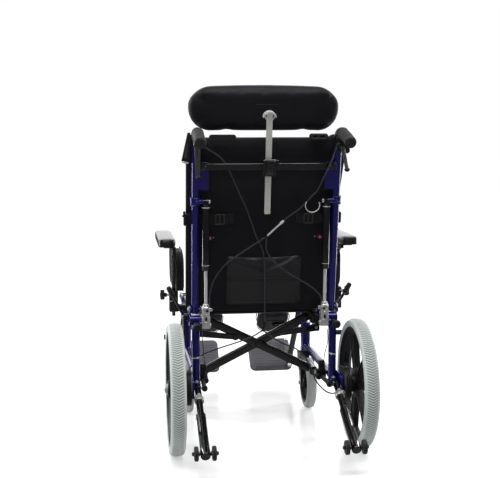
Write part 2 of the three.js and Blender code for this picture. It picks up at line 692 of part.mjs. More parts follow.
function antiTipSleeve() {
  const start = antiTip.reach - antiTip.sleeveLength;
  const outer = tube([along(start), along(antiTip.reach + antiTip.sleeveRadius)], antiTip.sleeveRadius);
  const bore = tube([along(start - fit.overrun), along(antiTip.reach - 2 * antiTip.axleRadius)],
    antiTip.tubeRadius + fit.running, antiTip.bend, 2 * facets.tube);
  const [, y, z] = along(antiTip.reach);
  const [, buttonY, buttonZ] = along(start + antiTip.sleeveRadius);
  const across = [-2 * antiTip.sleeveRadius, 2 * antiTip.sleeveRadius];
  const axleBore = rodX(antiTip.axleRadius + fit.running, across, y, z, facets.small);
  const buttonFoot = antiTip.tubeRadius + 2 * fit.running + fit.overrun;
  const button = rodX(antiTip.buttonRadius, [buttonFoot, antiTip.sleeveRadius + antiTip.buttonHeight],
    buttonY, buttonZ, facets.small);
  return cut(join(cut(outer, bore), button), axleBore);
}

function antiTipRollers() {
  const inner = antiTip.sleeveRadius + fit.seated;
  const outer = inner + antiTip.rollerGap + antiTip.rollerWidth;
  const end = outer + antiTip.axleEnd;
  const roller = (side) => [
    rodX(antiTip.rollerRadius, onSide(side, inner + antiTip.rollerGap, outer), 0, 0, antiTip.rollerSides),
    rodX(antiTip.nutRadius, onSide(side, inner, inner + antiTip.rollerGap + fit.weld), 0, 0, facets.small),
    rodX(antiTip.nutRadius, onSide(side, outer - fit.weld, outer + antiTip.nutLength), 0, 0, 6),
  ];
  return join(rodX(antiTip.axleRadius, [-end, end], 0, 0, facets.small), ...roller(1), ...roller(-1));
}

// Back cane, push grip, hand lever and gas spring, in the leaning plane of the back

function cane() {
  const post = tube([[0, 0, -back.caneFoot], [0, 0, back.caneTop], [0, -back.handleLength, back.caneTop]],
    frame.tubeRadius, back.handleBend);
  const eye = { y: -spring.upperSetBack, z: spring.upperHeight };
  const pinEnd = -spring.inset - spring.eyeWidth / 2 - fit.seated;
  const half = back.collarHeight / 2;
  const collar = rodZ(back.collarRadius, [eye.z - half, eye.z + half], 0, 0);
  const headEnd = pinEnd - spring.pinHeadLength;
  const pin = rodX(spring.pinRadius, [headEnd, 0], eye.y, eye.z, facets.small);
  const pinHead = rodX(spring.pinHeadRadius, [headEnd, pinEnd], eye.y, eye.z, facets.small);
  const shoulderEnd = -spring.inset + spring.eyeWidth / 2 + fit.seated;
  const shoulder = rodX(spring.eyeRadius, [shoulderEnd, 0], eye.y, eye.z, facets.small);
  const flangeTop = crossbar.height + crossbar.side / 2;
  const flange = box([-frame.tubeRadius - crossbar.flangeWidth, 0],
    [-frame.tubeRadius + fit.seated, -frame.tubeRadius + fit.seated + crossbar.flangeThickness],
    [flangeTop - crossbar.flangeHeight, flangeTop]);
  const bore = rodX(pivot.pinRadius + fit.running, [-2 * frame.tubeRadius, 2 * frame.tubeRadius], 0, 0);
  return cut(join(post, collar, pin, pinHead, shoulder, flange, ...leverHousing()), bore);
}

const leverPivot = { y: -clampStart - lever.clampLength / 2, z: back.caneTop - lever.pivotDrop };

function leverHousing() {
  const outer = frame.tubeRadius + lever.clampWall;
  const clamp = rodY(outer, [-clampStart - lever.clampLength, -clampStart], 0, back.caneTop);
  const cheekInner = lever.cheekGap / 2;
  const cheekOuter = cheekInner + lever.cheekThickness;
  const cheek = strap([leverPivot.y, leverPivot.z], [leverPivot.y, back.caneTop - frame.tubeRadius],
    lever.cheekRadius, lever.clampLength / 2);
  return [
    clamp,
    plateX(cheek, [cheekInner, cheekOuter]),
    plateX(cheek, [-cheekOuter, -cheekInner]),
    rodX(lever.pinRadius, [-cheekOuter - fit.overrun, cheekOuter + fit.overrun], leverPivot.y, leverPivot.z,
      facets.small),
  ];
}

function pushGrip() {
  const start = -clampStart - lever.clampLength - fit.seated;
  const { collarRadius, collarWidth, radius, end } = grip;
  const tail = back.handleLength + start + fit.seated + end;
  const outline = [
    [0, 0], [collarRadius, 0], [collarRadius, collarWidth], [radius, collarWidth], [radius, tail - end],
    [radius - end, tail], [0, tail],
  ].map(([r, x]) => new THREE.Vector2(r, x));
  const sleeve = new THREE.LatheGeometry(outline, facets.tube).rotateZ(Math.PI)
    .translate(0, start, back.caneTop);
  const bore = rodY(frame.tubeRadius + fit.seated, [-back.handleLength - fit.seated, start + fit.overrun],
    0, back.caneTop, 2 * facets.tube);
  return cut(sleeve, bore);
}

function handLever() {
  const half = lever.bladeThickness / 2;
  const blade = plateX(strap([0, 0], [-lever.bladeLength, 0], lever.bladeWidth / 2), [-half, half]);
  const bossHalf = lever.cheekGap / 2 - fit.running;
  const boss = rodX(lever.bossRadius, [-bossHalf, bossHalf], 0, 0);
  const bore = rodX(lever.pinRadius + fit.running, [-lever.cheekGap, lever.cheekGap], 0, 0);
  return cut(join(blade, boss, ball(lever.ballRadius, 0, -lever.bladeLength, 0)), bore);
}

function springCylinder() {
  const { cylinderRadius, wall, cylinderLength, capLength, eyeWidth, eyeRadius, pinRadius } = spring;
  const top = -eyeRadius - 2 * fit.overrun;
  const foot = top - cylinderLength;
  const barrel = cut(rodZ(cylinderRadius, [foot, top], 0, 0),
    rodZ(cylinderRadius - wall, [foot - fit.overrun, top - capLength], 0, 0));
  const eye = plateX(strap([0, top - capLength / 2], [0, 0], eyeRadius), [-eyeWidth / 2, eyeWidth / 2]);
  const bore = rodX(pinRadius + fit.running, [-eyeWidth, eyeWidth], 0, 0, facets.small);
  return cut(join(barrel, eye), bore);
}

function springRod() {
  const { headWidth, headDepth, headLength, headFoot, rodRadius, rodInside, pinRadius } = spring;
  const mouth = springLength - spring.eyeRadius - 2 * fit.overrun - spring.cylinderLength;
  const side = roundedRectangle([-headDepth / 2, headDepth / 2], [-headFoot, headLength], headDepth / 4);
  const head = plateX(side,
    [-headWidth / 2, headWidth / 2]);
  const neck = rodZ(headDepth / 3, [headLength - fit.overrun, headLength + headFoot], 0, 0);
  const arm = box([-headWidth / 2 - spring.armReach, 0], [-spring.armThickness / 2, spring.armThickness / 2],
    [headLength - 2 * spring.armThickness, headLength - spring.armThickness]);
  const rod = rodZ(rodRadius, [0, mouth + rodInside], 0, 0);
  const bore = rodX(pinRadius + fit.running, [-headWidth, headWidth], 0, 0, facets.small);
  return cut(join(head, neck, arm, rod), bore);
}

// Armrest

function armrestFrame() {
  const { postX, postThickness, postY, postWidth, postFoot, padTop, padThickness, topRailHeight } = armrest;
  const x = [postX - postThickness / 2, postX + postThickness / 2];
  const top = padTop - padThickness - fit.seated;
  const guard = roundedRectangle([armrest.guardBack, armrest.guardFront],
    [armrest.guardFoot, top - topRailHeight / 2], armrest.guardCorner);
  return join(
    box(x, [postY - postWidth / 2, postY + postWidth / 2], [postFoot, top - fit.overrun]),
    box(x, [armrest.topRailBack, armrest.topRailFront], [top - topRailHeight, top]),
    box([x[0], x[0] + armrest.shelfWidth], [armrest.topRailBack, armrest.topRailFront],
      [top - armrest.shelfThickness, top]),
    plateX(guard, [postX - armrest.guardThickness / 2, postX + armrest.guardThickness / 2]),
  );
}

function armrestPad() {
  const width = armrest.padWidth;
  const length = armrest.padFront - armrest.padBack;
  const centreX = armrest.postX - armrest.padOverhang + width / 2;
  const size = [width, length, armrest.padThickness];
  return softSlab(size, [4, 8, 2], 2, [0, armrest.padCrown], armrest.edgeRound)
    .translate(centreX, armrest.padBack + length / 2, armrest.padTop - armrest.padThickness / 2);
}

function hipCushion() {
  const outer = armrest.postX - armrest.postThickness / 2 - fit.seated;
  const foot = armrest.blockTop + hipPad.gapToBlock;
  const shape = new THREE.Shape();
  shape.moveTo(hipPad.back, foot);
  shape.lineTo(hipPad.front, foot);
  shape.absarc(hipPad.front - hipPad.corner, hipPad.top - hipPad.corner, hipPad.corner, 0, Math.PI / 2);
  shape.absarc(hipPad.back + hipPad.corner, hipPad.top - hipPad.corner, hipPad.corner, Math.PI / 2, Math.PI);
  shape.closePath();
  return plateX(shape, [outer - hipPad.thickness, outer], {
    depth: hipPad.thickness - 2 * hipPad.crown, bevelEnabled: true, bevelThickness: hipPad.crown,
    bevelSize: hipPad.crown, bevelOffset: -hipPad.crown, bevelSegments: 2,
  }).translate(hipPad.crown, 0, 0);
}

function clampKnob() {
  const start = armrest.postX + armrest.postThickness / 2 + armrest.blockWall + fit.seated;
  const shaftEnd = start + starKnob.shaftLength;
  const outline = new THREE.Shape();
  const steps = starKnob.lobeSteps * starKnob.lobes;
  for (let i = 0; i < steps; i += 1) {
    const angle = 2 * Math.PI * i / steps;
    const wave = (1 + Math.cos(starKnob.lobes * angle)) / 2;
    const radius = starKnob.valley + (starKnob.radius - starKnob.valley) * wave;
    outline[i ? 'lineTo' : 'moveTo'](radius * Math.cos(angle), radius * Math.sin(angle));
  }
  outline.closePath();
  return join(
    rodX(starKnob.shaftRadius, [start, shaftEnd], 0, 0, facets.small),
    plateX(outline, [shaftEnd - fit.overrun, shaftEnd + starKnob.thickness]),
    rodX(starKnob.bossRadius, [start + starKnob.shaftLength / 2, shaftEnd], 0, 0, facets.small),
  );
}

// Wheel lock lever, about its pivot

function lockLever() {
  const { hubRadius, pinRadius, shoeRadius, armThickness } = wheelLock;
  const hubStart = frame.tubeRadius + wheelLock.gapToFrame + fit.running;
  const hubEnd = hubStart + wheelLock.hubWidth;
  const away = radians(wheelLock.shoeAngle);
  const shoeReach = rearWheel.radius + wheelLock.shoeGap + shoeRadius;
  const shoe = [
    axle.y + shoeReach * Math.cos(away) - wheelLock.pivotY,
    axle.z + shoeReach * Math.sin(away) - wheelLock.pivotHeight,
  ];
  const tyreEdge = rearWheel.standOff + rearWheel.tyreWidth / 2;
  const shoeEnds = [hubEnd - armThickness, tyreEdge + wheelLock.shoeOverhang];
  const elbow = [hubEnd + wheelLock.handleOut, -wheelLock.gripBack / 2, wheelLock.handleRise];
  const tip = [hubStart + wheelLock.gripOut, -wheelLock.gripBack, wheelLock.handleTop];
  const toTip = tip.map((value, axis) => value - elbow[axis]);
  const reach = Math.hypot(...toTip);
  const gripStart = tip.map((value, axis) => value - toTip[axis] * wheelLock.gripLength / reach);
  const gripEnd = tip.map((value, axis) => value + toTip[axis] * fit.overrun / reach);
  const arm = strap([0, 0], shoe, hubRadius - 2 * fit.overrun, shoeRadius);
  const handle = [[hubEnd - armThickness / 2, 0, 0], elbow, tip];
  return cut(join(
    rodX(hubRadius, [hubStart, hubEnd], 0, 0),
    plateX(arm, [hubEnd - armThickness, hubEnd]),
    rodX(shoeRadius, shoeEnds, ...shoe),
    tube(handle, wheelLock.handleRadius, 2 * wheelLock.handleRadius, facets.small),
    tube([gripStart, gripEnd], wheelLock.gripRadius),
  ), rodX(pinRadius + fit.running, [hubStart - fit.overrun, hubEnd + fit.running], 0, 0));
}

// Legrest, about its hinge, drawn hanging straight down

function legrestHanger() {
  const { tubeRadius, length, rodRadius, rodBack, rodFront, pinRadius } = legrest;
  const foot = -length;
  const padFoot = calfPad.standOff - fit.seated;
  const { centre, height, plateHalf } = calfPad;
  return cut(join(
    rodX(tubeRadius, [-tubeRadius, tubeRadius], 0, 0),
    rodZ(tubeRadius, [foot, 0], 0, 0),
    rodY(rodRadius, [-rodBack, rodFront], 0, foot, facets.small),
    tube([[0, 0, -height], [-centre, 0, -height], [-centre, padFoot - fit.overrun, -height]],
      calfPad.armRadius, calfPad.armRadius, facets.small),
    box([-centre - plateHalf, -centre + plateHalf], [padFoot - calfPad.plateThickness, padFoot],
      [-height - plateHalf, -height + plateHalf]),
  ), rodX(pinRadius + fit.running, [-2 * tubeRadius, 2 * tubeRadius], 0, 0));
}

function calfCushion() {
  const { halfWidth, halfHeight, thickness, centre, height, standOff, crown } = calfPad;
  const shape = new THREE.Shape();
  shape.absarc(0, -halfHeight + halfWidth, halfWidth - crown, Math.PI, 2 * Math.PI);
  shape.absarc(halfWidth - 3 * crown, halfHeight - 3 * crown, 2 * crown, 0, Math.PI / 2);
  shape.absarc(-halfWidth + 3 * crown, halfHeight - 3 * crown, 2 * crown, Math.PI / 2, Math.PI);
  shape.closePath();
  return new THREE.ExtrudeGeometry(shape, {
    depth: thickness - 2 * crown, bevelEnabled: true, bevelThickness: crown, bevelSize: crown,
    bevelSegments: 2, curveSegments: facets.bend,
  }).rotateX(Math.PI / 2).translate(-centre, standOff + thickness - crown, -height);
}

function footplate() {
  const { plateDrop, plateBack, plateFront, plateInner, plateOuter, plateCorner, rodRadius } = legrest;
  const outer = rodRadius + fit.running + legrest.sleeveWall;
  const shape = roundedRectangle([-plateInner, plateOuter], [-plateBack, plateFront], plateCorner);
  const heel = roundedRectangle([-plateInner + plateCorner, -plateCorner],
    [-plateDrop - fit.overrun, legrest.lip], legrest.lipThickness / 2);
  return cut(join(
    plateZ(shape, [-plateDrop - legrest.plateThickness, -plateDrop]),
    plateY(heel, [-plateBack, -plateBack + legrest.lipThickness]),
    rodY(outer, [legrest.sleeveBack, legrest.sleeveFront], 0, 0),
    box([-outer, outer], [legrest.sleeveBack, legrest.sleeveFront], [-plateDrop - fit.overrun, 0]),
  ), rodY(rodRadius + fit.running, [-plateBack, plateFront], 0, 0));
}

// Cross brace: an arm carries the seat rail of the opposite side at its upper end

function crossArm(front) {
  const { armY, armThickness, armDepth, sleeveRadius, sleeveLength, railRadius, railBack, railFront } = brace;
  const near = front ? armY + armThickness + fit.running : armY;
  const middle = near + armThickness / 2;
  const length = Math.hypot(armRun, armRise);
  const outward = front ? 1 : -1;
  const lean = Math.atan2(armRise, armRun);
  const bar = box([railRadius / 2 - length, 0], [near, near + armThickness], [-armDepth / 2, armDepth / 2])
    .rotateY(lean);
  const boltY = [middle, middle + outward * (armThickness / 2 + brace.boltHead)].sort((a, b) => a - b);
  return cut(join(
    bar,
    rodY(sleeveRadius, [middle - sleeveLength / 2, middle + sleeveLength / 2], 0, 0),
    rodY(railRadius, [railBack, railFront], -armRun, armRise),
    rodY(brace.boltRadius, boltY, -armRun / 2, armRise / 2, 6),
  ), rodY(brace.tubeRadius + fit.running, [railBack, railFront], 0, 0));
}

function scissorLink(front) {
  const start = frame.halfWidth - link.anchorInset;
  const meets = brace.pivotHeight + armRise * (frame.halfWidth - armInset + link.reach) / armRun;
  const end = [link.reach - start, meets - link.drop - link.anchorHeight];
  const [y0, y1] = linkPlane(front);
  const boltY = front ? [y1 - fit.weld, y1 + link.boltHead] : [y0 - link.boltHead, y0 + fit.weld];
  const body = plateY(strap([0, 0], end, link.depth / 2, link.depth / 3), [y0, y1]);
  return cut(join(body, rodY(link.boltRadius, boltY, ...end, 6)),
    rodY(link.pinRadius + fit.running, [y0 - fit.overrun, y1 + fit.overrun], 0, 0));
}

// Seat

function seatSling() {
  const top = brace.railHeight + brace.railRadius + fit.seated;
  return box([-seat.slingHalf, seat.slingHalf], [seat.slingBack, seat.slingFront],
    [top, top + seat.slingThickness]);
}

function seatCushion() {
  const foot = brace.railHeight + brace.railRadius + 2 * fit.seated + seat.slingThickness;
  const depth = seat.cushionFront - seat.cushionBack;
  const size = [2 * seat.cushionHalf, depth, seat.cushionHeight];
  return softSlab(size, [8, 8, 2], 2, [0, seat.crown], seat.edgeRound)
    .translate(0, seat.cushionBack + depth / 2, foot + seat.cushionHeight / 2);
}

// Back upholstery and its pocket, in the leaning plane

function backPanel() {
  const { width, height, thickness, foot, setForward, crown, edgeRound } = upholstery;
  const rear = frame.tubeRadius + setForward;
  const middle = foot + height / 2;
  const panel = softSlab([width, thickness, height], [8, 2, 10], 1, [crown, crown], edgeRound)
    .translate(0, rear + thickness / 2, middle);
  const { pocketWidth, pocketHeight, pocketThickness, pocketFoot } = upholstery;
  const size = [pocketWidth, 2 * pocketThickness, pocketHeight];
  const pocket = softSlab(size, [6, 2, 5], 1, [crown, crown], edgeRound)
    .translate(0, rear + fit.overrun, foot + pocketFoot + pocketHeight / 2);
  return join(panel, pocket);
}

// Crossbar with the headrest clamp, headrest post, clamp lever, bracket and pad

const postRear = barRear - headrest.postThickness - 3 * fit.overrun;

function crossbarBody() {
  const { height, side, halfLength } = crossbar;
  const { postWidth, postThickness, clampWidth, clampHeight, leverThickness } = headrest;
  const bar = box([-halfLength, halfLength], [barRear, barRear + side],
    [height - side / 2, height + side / 2]);
  const foot = height - clampHeight / 2;
  const clampRear = postRear - fit.running - headrest.clampWall;
  const clamp = box([-clampWidth / 2, clampWidth / 2], [clampRear, barRear + fit.overrun],
    [foot, foot + clampHeight]);
  const slot = box([-postWidth / 2 - fit.running, postWidth / 2 + fit.running],
    [postRear - fit.running, postRear + postThickness + fit.running],
    [foot - fit.overrun, foot + clampHeight + fit.overrun]);
  const earStart = headrest.leverWidth / 2 + fit.running;
  const ears = [1, -1].map((end) => box(onSide(end, earStart, clampWidth / 2),
    [clampRear - 2 * leverThickness, clampRear + fit.overrun],
    [height + leverThickness, foot + clampHeight]));
  const pin = rodX(headrest.leverPin, [-clampWidth / 2, clampWidth / 2], clampLeverPivot.y,
    clampLeverPivot.z, facets.small);
  const boltX = frame.halfWidth - frame.tubeRadius - crossbar.flangeWidth / 2;
  const bolts = [boltX, -boltX].map((x) =>
    rodY(crossbar.boltRadius, [barRear - crossbar.boltLength, barRear + fit.overrun], x, height, 6));
  return join(cut(join(bar, clamp), slot), ...ears, pin, ...bolts);
}

const clampLeverPivot = {
  y: postRear - fit.running - headrest.clampWall - headrest.leverThickness - fit.running,
  z: crossbar.height + headrest.clampHeight / 2 - headrest.leverThickness - fit.overrun,
};

function clampLever() {
  const half = headrest.leverThickness - fit.running;
  const across = [-headrest.leverWidth / 2, headrest.leverWidth / 2];
  const blade = box(across, [-half, half - fit.overrun], [-headrest.leverLength, 0]);
  const hub = rodX(half, across, 0, 0);
  const through = [-headrest.leverWidth, headrest.leverWidth];
  const bore = rodX(headrest.leverPin + fit.running, through, 0, 0, facets.small);
  return cut(join(blade, hub), bore);
}

function headrestPost() {
  const middle = postRear + headrest.postThickness / 2;
  const mouth = postRear + headrest.ballGap;
  const socket = rodY(headrest.collarRadius, [postRear, mouth], 0, headrest.ballHeight);
  const hollow = ball(headrest.ballRadius + 2 * fit.running, 0, mouth, headrest.ballHeight);
  const flat = box([-headrest.postWidth / 2, headrest.postWidth / 2],
    [middle - headrest.postThickness / 2, middle + headrest.postThickness / 2],
    [headrest.postFoot, headrest.postTop]);
  return cut(join(flat, socket), hollow);
}

const headrestPivotY = postRear + headrest.ballGap;
const padRear = frame.tubeRadius + headrest.padForward;

function headrestBracket() {
  const plateFront = padRear - fit.seated - headrestPivotY;
  const { plateWidth, plateHeight, plateThickness } = headrest;
  return join(
    ball(headrest.ballRadius, 0, 0, 0),
    rodY(headrest.rodRadius, [0, plateFront - fit.overrun], 0, 0, facets.small),
    box([-plateWidth / 2, plateWidth / 2], [plateFront - plateThickness, plateFront],
      [-plateHeight / 2, plateHeight / 2]),
  );
}

function headrestPad() {
  const radius = headrest.padHeight / 2;
  const geometry = new THREE.CapsuleGeometry(radius, headrest.padWidth - headrest.padHeight, 4, 14, 6)
    .rotateZ(Math.PI / 2);
  geometry.scale(1, headrest.padThickness / headrest.padHeight, 1);
  const position = geometry.getAttribute('position');
  for (let i = 0; i < position.count; i += 1) {
    const share = Math.abs(position.getX(i)) / (headrest.padWidth / 2);
    position.setY(i, position.getY(i) + headrest.wing * share ** headrest.wingPower);
  }
  return geometry.translate(0, padRear + headrest.padThickness / 2 - headrestPivotY,
    headrest.padHeightAt - headrest.ballHeight);
}

// Cables, each one piece with its branches. The release cable is drawn in the leaning plane.

function straightRod(from, to, radius) {
  return tube([from, to], radius, radius, facets.small);
}

// The routes were drawn on a frame of the cable's drawn width and rail height, and follow the real one
function follow(points) {
  const { drawnHalfWidth, drawnRailHeight } = cable;
  return points.map(([x, y, z]) => [
    x * frame.halfWidth / drawnHalfWidth, y,
    z < drawnRailHeight ? z * frame.railHeight / drawnRailHeight : z - drawnRailHeight + frame.railHeight,
  ]);
}

function followWidth(points) {
  return points.map(([x, y, z]) => [x * frame.halfWidth / cable.drawnHalfWidth, y, z]);
}

function releaseCable() {
  const tie = [1, -22, 237];
  const ferrule = [[50, -22, 284], [42, -22, 276]];
  const main = [
    [203, -51, 530], [186, -44, 470], [170, -40, 430], [153, -24, 380], [139, -22, 364],
    [102, -22, 324], [68, -22, 299], ferrule[0],
  ];
  const left = [
    tie, [-49, -22, 203], [-110, -22, 162], [-146, -26, 120], [-160, -36, 70], [-153, -43, 17],
  ];
  const right = [
    tie, [3, -22, 190], [33, -22, 149], [84, -22, 111], [138, -28, 78], [158, -38, 48], [153, -43, 17],
  ];
  const [ferruleEnds, pipeEnds] = [followWidth(ferrule), followWidth([ferrule[1], tie])];
  return join(
    cord(followWidth(main), cable.radius, cable.mainSteps),
    straightRod(...ferruleEnds, cable.ferruleRadius),
    straightRod(...pipeEnds, cable.pipeRadius),
    ball(cable.tieRadius, ...pipeEnds[1]),
    cord(followWidth(left), cable.radius, cable.branchSteps),
    cord(followWidth(right), cable.radius, cable.branchSteps),
  );
}

function brakeCable() {
  const splitter = [[2, 72, 388], [-3, 78, 358]];
  const main = [
    [-203, -61, 938], [-176, -51, 900], [-140, -38, 868], [-112, -32, 838], [-82, -8, 762],
    [-36, 11, 664], [-9, 20, 612], [-2, 34, 560], [0, 50, 480], [1, 64, 420], splitter[0],
  ];
  const left = [
    splitter[1], [-50, 84, 332], [-150, 88, 300], [-196, 88, 282], [-222, 88, 256], [-236, 76, 240],
    [-236, 64, 230],
  ];
  const right = [
    splitter[1], [55, 90, 316], [108, 98, 291], [140, 100, 256], [158, 100, 220], [172, 96, 184],
    [204, 84, 152], [234, 82, 150], [240, 77, 180], [238, 66, 207],
  ];
  return join(
    cord(follow(main), cable.radius, cable.mainSteps + cable.branchSteps),
    straightRod(...follow(splitter), cable.splitterRadius),
    cord(follow(left), cable.radius, cable.branchSteps),
    cord(follow(right), cable.radius, cable.mainSteps),
  );
}

for (const side of [1, -1]) {
  const name = side > 0 ? 'right' : 'left';
  const handed = (geometry) => (side > 0 ? join(geometry) : mirrored(join(geometry)));
  const half = new THREE.Group();
  half.position.x = side * frame.halfWidth;
  chair.add(half);
  const add = (piece, geometry, material, position, rotation, parent = half) =>
    addPiece(parent, `${piece}_${name}`, handed(geometry), material, position, rotation);

  add('side_frame', sideFrame(side > 0), materials.blue);
  add('rear_tyre', tyre(), materials.tyre, [side * rearWheel.standOff, axle.y, axle.z]);
  add('rear_wheel', mouldedWheel(), materials.blackPlastic, [side * rearWheel.standOff, axle.y, axle.z]);
  add('hub_brake', hubBrake(), materials.blackPlastic, [0, axle.y, axle.z]);
  add('caster_fork', casterFork(), materials.blackTube, [0, stemY, 0]);
  add('caster_wheel', casterWheel(), materials.casterTyre, [0, stemY - caster.trail, caster.radius]);
  add('anti_tip_tube', antiTipTube(), materials.blackTube);
  add('anti_tip_sleeve', antiTipSleeve(), materials.blackTube);
  add('anti_tip_rollers', antiTipRollers(), materials.rubber, along(antiTip.reach));
  add('armrest', armrestFrame(), materials.blackTube);
  add('arm_pad', armrestPad(), materials.vinyl);
  add('hip_cushion', hipCushion(), materials.fabric);
  add('star_knob', clampKnob(), materials.blackPlastic, [0, armrest.postY, starKnob.height]);
  add('wheel_lock', lockLever(), materials.blackTube, [0, wheelLock.pivotY, wheelLock.pivotHeight]);

  const leg = new THREE.Group();
  leg.position.set(0, legrest.hingeY, legrest.hingeHeight);
  leg.rotation.x = radians(legrest.swing);
  half.add(leg);
  add('legrest_hanger', legrestHanger(), materials.blackTube, [0, 0, 0], 0, leg);
  add('calf_pad', calfCushion(), materials.vinyl, [0, 0, 0], 0, leg);
  add('footplate', footplate(), materials.greyPlastic, [0, 0, -legrest.length], 0, leg);

  const backHalf = new THREE.Group();
  backHalf.position.set(0, pivot.y, pivot.height);
  backHalf.rotation.x = leanBack;
  half.add(backHalf);
  add('back_cane', cane(), materials.blue, [0, 0, 0], 0, backHalf);
  add('push_grip', pushGrip(), materials.rubber, [0, 0, 0], 0, backHalf);
  const restAngle = radians(side > 0 ? lever.restAngleRight : lever.restAngleLeft);
  const leverPlace = [0, leverPivot.y, leverPivot.z];
  add('hand_lever', handLever(), materials.blackPlastic, leverPlace, restAngle, backHalf);

  const upper = [-side * spring.inset, upperEye.y, upperEye.z];
  const lower = [-side * spring.inset, spring.lowerY, spring.lowerHeight];
  add('gas_cylinder', springCylinder(), materials.blackTube, upper, springLean);
  add('gas_rod', springRod(), materials.zinc, lower, springLean);

  const armSide = side * (frame.halfWidth - armInset);
  addPiece(chair, `cross_arm_${name}`, handed(crossArm(side < 0)), materials.blackTube,
    [armSide, 0, brace.pivotHeight]);
  addPiece(chair, `brace_link_${name}`, handed(scissorLink(side > 0)), materials.blackTube,
    [side * (frame.halfWidth - link.anchorInset), 0, link.anchorHeight]);
}

addPiece(chair, 'seat_sling', join(seatSling()), materials.fabric);
addPiece(chair, 'seat_cushion', join(seatCushion()), materials.fabric);

const backCentre = new THREE.Group();
backCentre.position.set(0, pivot.y, pivot.height);
backCentre.rotation.x = leanBack;
chair.add(backCentre);
addPiece(backCentre, 'back_upholstery', backPanel(), materials.fabric);
addPiece(backCentre, 'crossbar', crossbarBody(), materials.blackTube);
addPiece(backCentre, 'release_cable', releaseCable(), materials.sheath);
addPiece(chair, 'brake_cable', brakeCable(), materials.sheath);
addPiece(backCentre, 'headrest_post', headrestPost(), materials.steel);
addPiece(backCentre, 'headrest_clamp_lever', clampLever(), materials.blackPlastic,
  [0, clampLeverPivot.y, clampLeverPivot.z]);
const headrestPivot = [0, headrestPivotY, headrest.ballHeight];
addPiece(backCentre, 'headrest_bracket', headrestBracket(), materials.steel, headrestPivot);
addPiece(backCentre, 'headrest_pad', join(headrestPad()), materials.fabric, headrestPivot);

chair.position.y = -middleY;
export default chair;
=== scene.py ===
"""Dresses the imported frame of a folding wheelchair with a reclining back.

Laid out as a Blender add-on and run as a script. Shapes are drawn in millimetres, one side of
the chair once, with +X outboard, and take their place in metres when they become a piece.
"""

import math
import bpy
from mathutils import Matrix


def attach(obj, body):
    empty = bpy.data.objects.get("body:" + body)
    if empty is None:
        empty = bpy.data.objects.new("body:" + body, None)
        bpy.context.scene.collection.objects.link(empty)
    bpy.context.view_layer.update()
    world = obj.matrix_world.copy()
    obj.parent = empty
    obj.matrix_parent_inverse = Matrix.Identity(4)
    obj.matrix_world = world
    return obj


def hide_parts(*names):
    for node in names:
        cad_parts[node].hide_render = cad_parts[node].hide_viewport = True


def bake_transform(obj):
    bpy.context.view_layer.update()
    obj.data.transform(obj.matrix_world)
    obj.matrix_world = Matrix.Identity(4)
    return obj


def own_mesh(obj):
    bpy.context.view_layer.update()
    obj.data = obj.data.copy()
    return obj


bl_info = {
    "name": "Folding reclining wheelchair",
    "version": (1, 0, 0),
    "blender": (4, 5, 0),
    "location": "3D View > Sidebar > Wheelchair",
    "description": "Tubes, tyres, upholstery, cables and finishes of a folding reclining wheelchair",
    "category": "Object",
}

import bmesh
import bpy
from mathutils import Matrix, Vector, noise

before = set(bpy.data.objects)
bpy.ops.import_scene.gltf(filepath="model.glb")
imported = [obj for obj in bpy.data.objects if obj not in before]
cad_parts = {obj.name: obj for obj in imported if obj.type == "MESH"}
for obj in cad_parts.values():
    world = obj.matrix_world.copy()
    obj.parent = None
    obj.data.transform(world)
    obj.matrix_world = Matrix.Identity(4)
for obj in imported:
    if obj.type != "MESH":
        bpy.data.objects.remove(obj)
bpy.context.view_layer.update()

MM = 0.001
MIDDLE_Y = 347.82
HALF_WIDTH = 215
WHEEL_RADIUS = 200
# The back's hinge, as its place along the chair and its height, and the back's lean in degrees
BACK_HINGE = (85, 430)
BACK_LEAN = 10
FULL_TURN = 2 * math.pi
SIDES = (("left", -1), ("right", 1))


def tilt(degrees, axis="X"):
    return Matrix.Rotation(math.radians(degrees), 4, axis)


def shift(x, y, z):
    return Matrix.Translation((x, y, z))


# The chair's own millimetres, from the floor under the middle of the rear axle, and its back's plane
CHAIR = Matrix.Scale(MM, 4) @ shift(0, -MIDDLE_Y, 0)
BACK_PLANE = shift(0, *BACK_HINGE) @ tilt(BACK_LEAN)
BACK = CHAIR @ BACK_PLANE


def half(sign):
    """Where one side of the chair is drawn: outboard from the plane of its frame tubes."""
    return CHAIR @ Matrix.Diagonal((sign, 1, 1, 1)) @ shift(HALF_WIDTH, 0, 0)


def back_half(sign):
    return half(sign) @ BACK_PLANE


# Colours and sizes that a user would change

def linear(code):
    """An sRGB hex colour as linear red, green and blue."""
    values = [int(code[i:i + 2], 16) / 255 for i in (0, 2, 4)]
    return tuple(v / 12.92 if v <= 0.04045 else ((v + 0.055) / 1.055) ** 2.4 for v in values)


def colour_property(name, code, description):
    return bpy.props.FloatVectorProperty(
        name=name, description=description, subtype="COLOR", size=3, min=0, max=1, default=linear(code))


def length_property(name, millimetres, description):
    return bpy.props.FloatProperty(
        name=name, description=description, subtype="DISTANCE", unit="LENGTH", min=0,
        default=millimetres * MM)


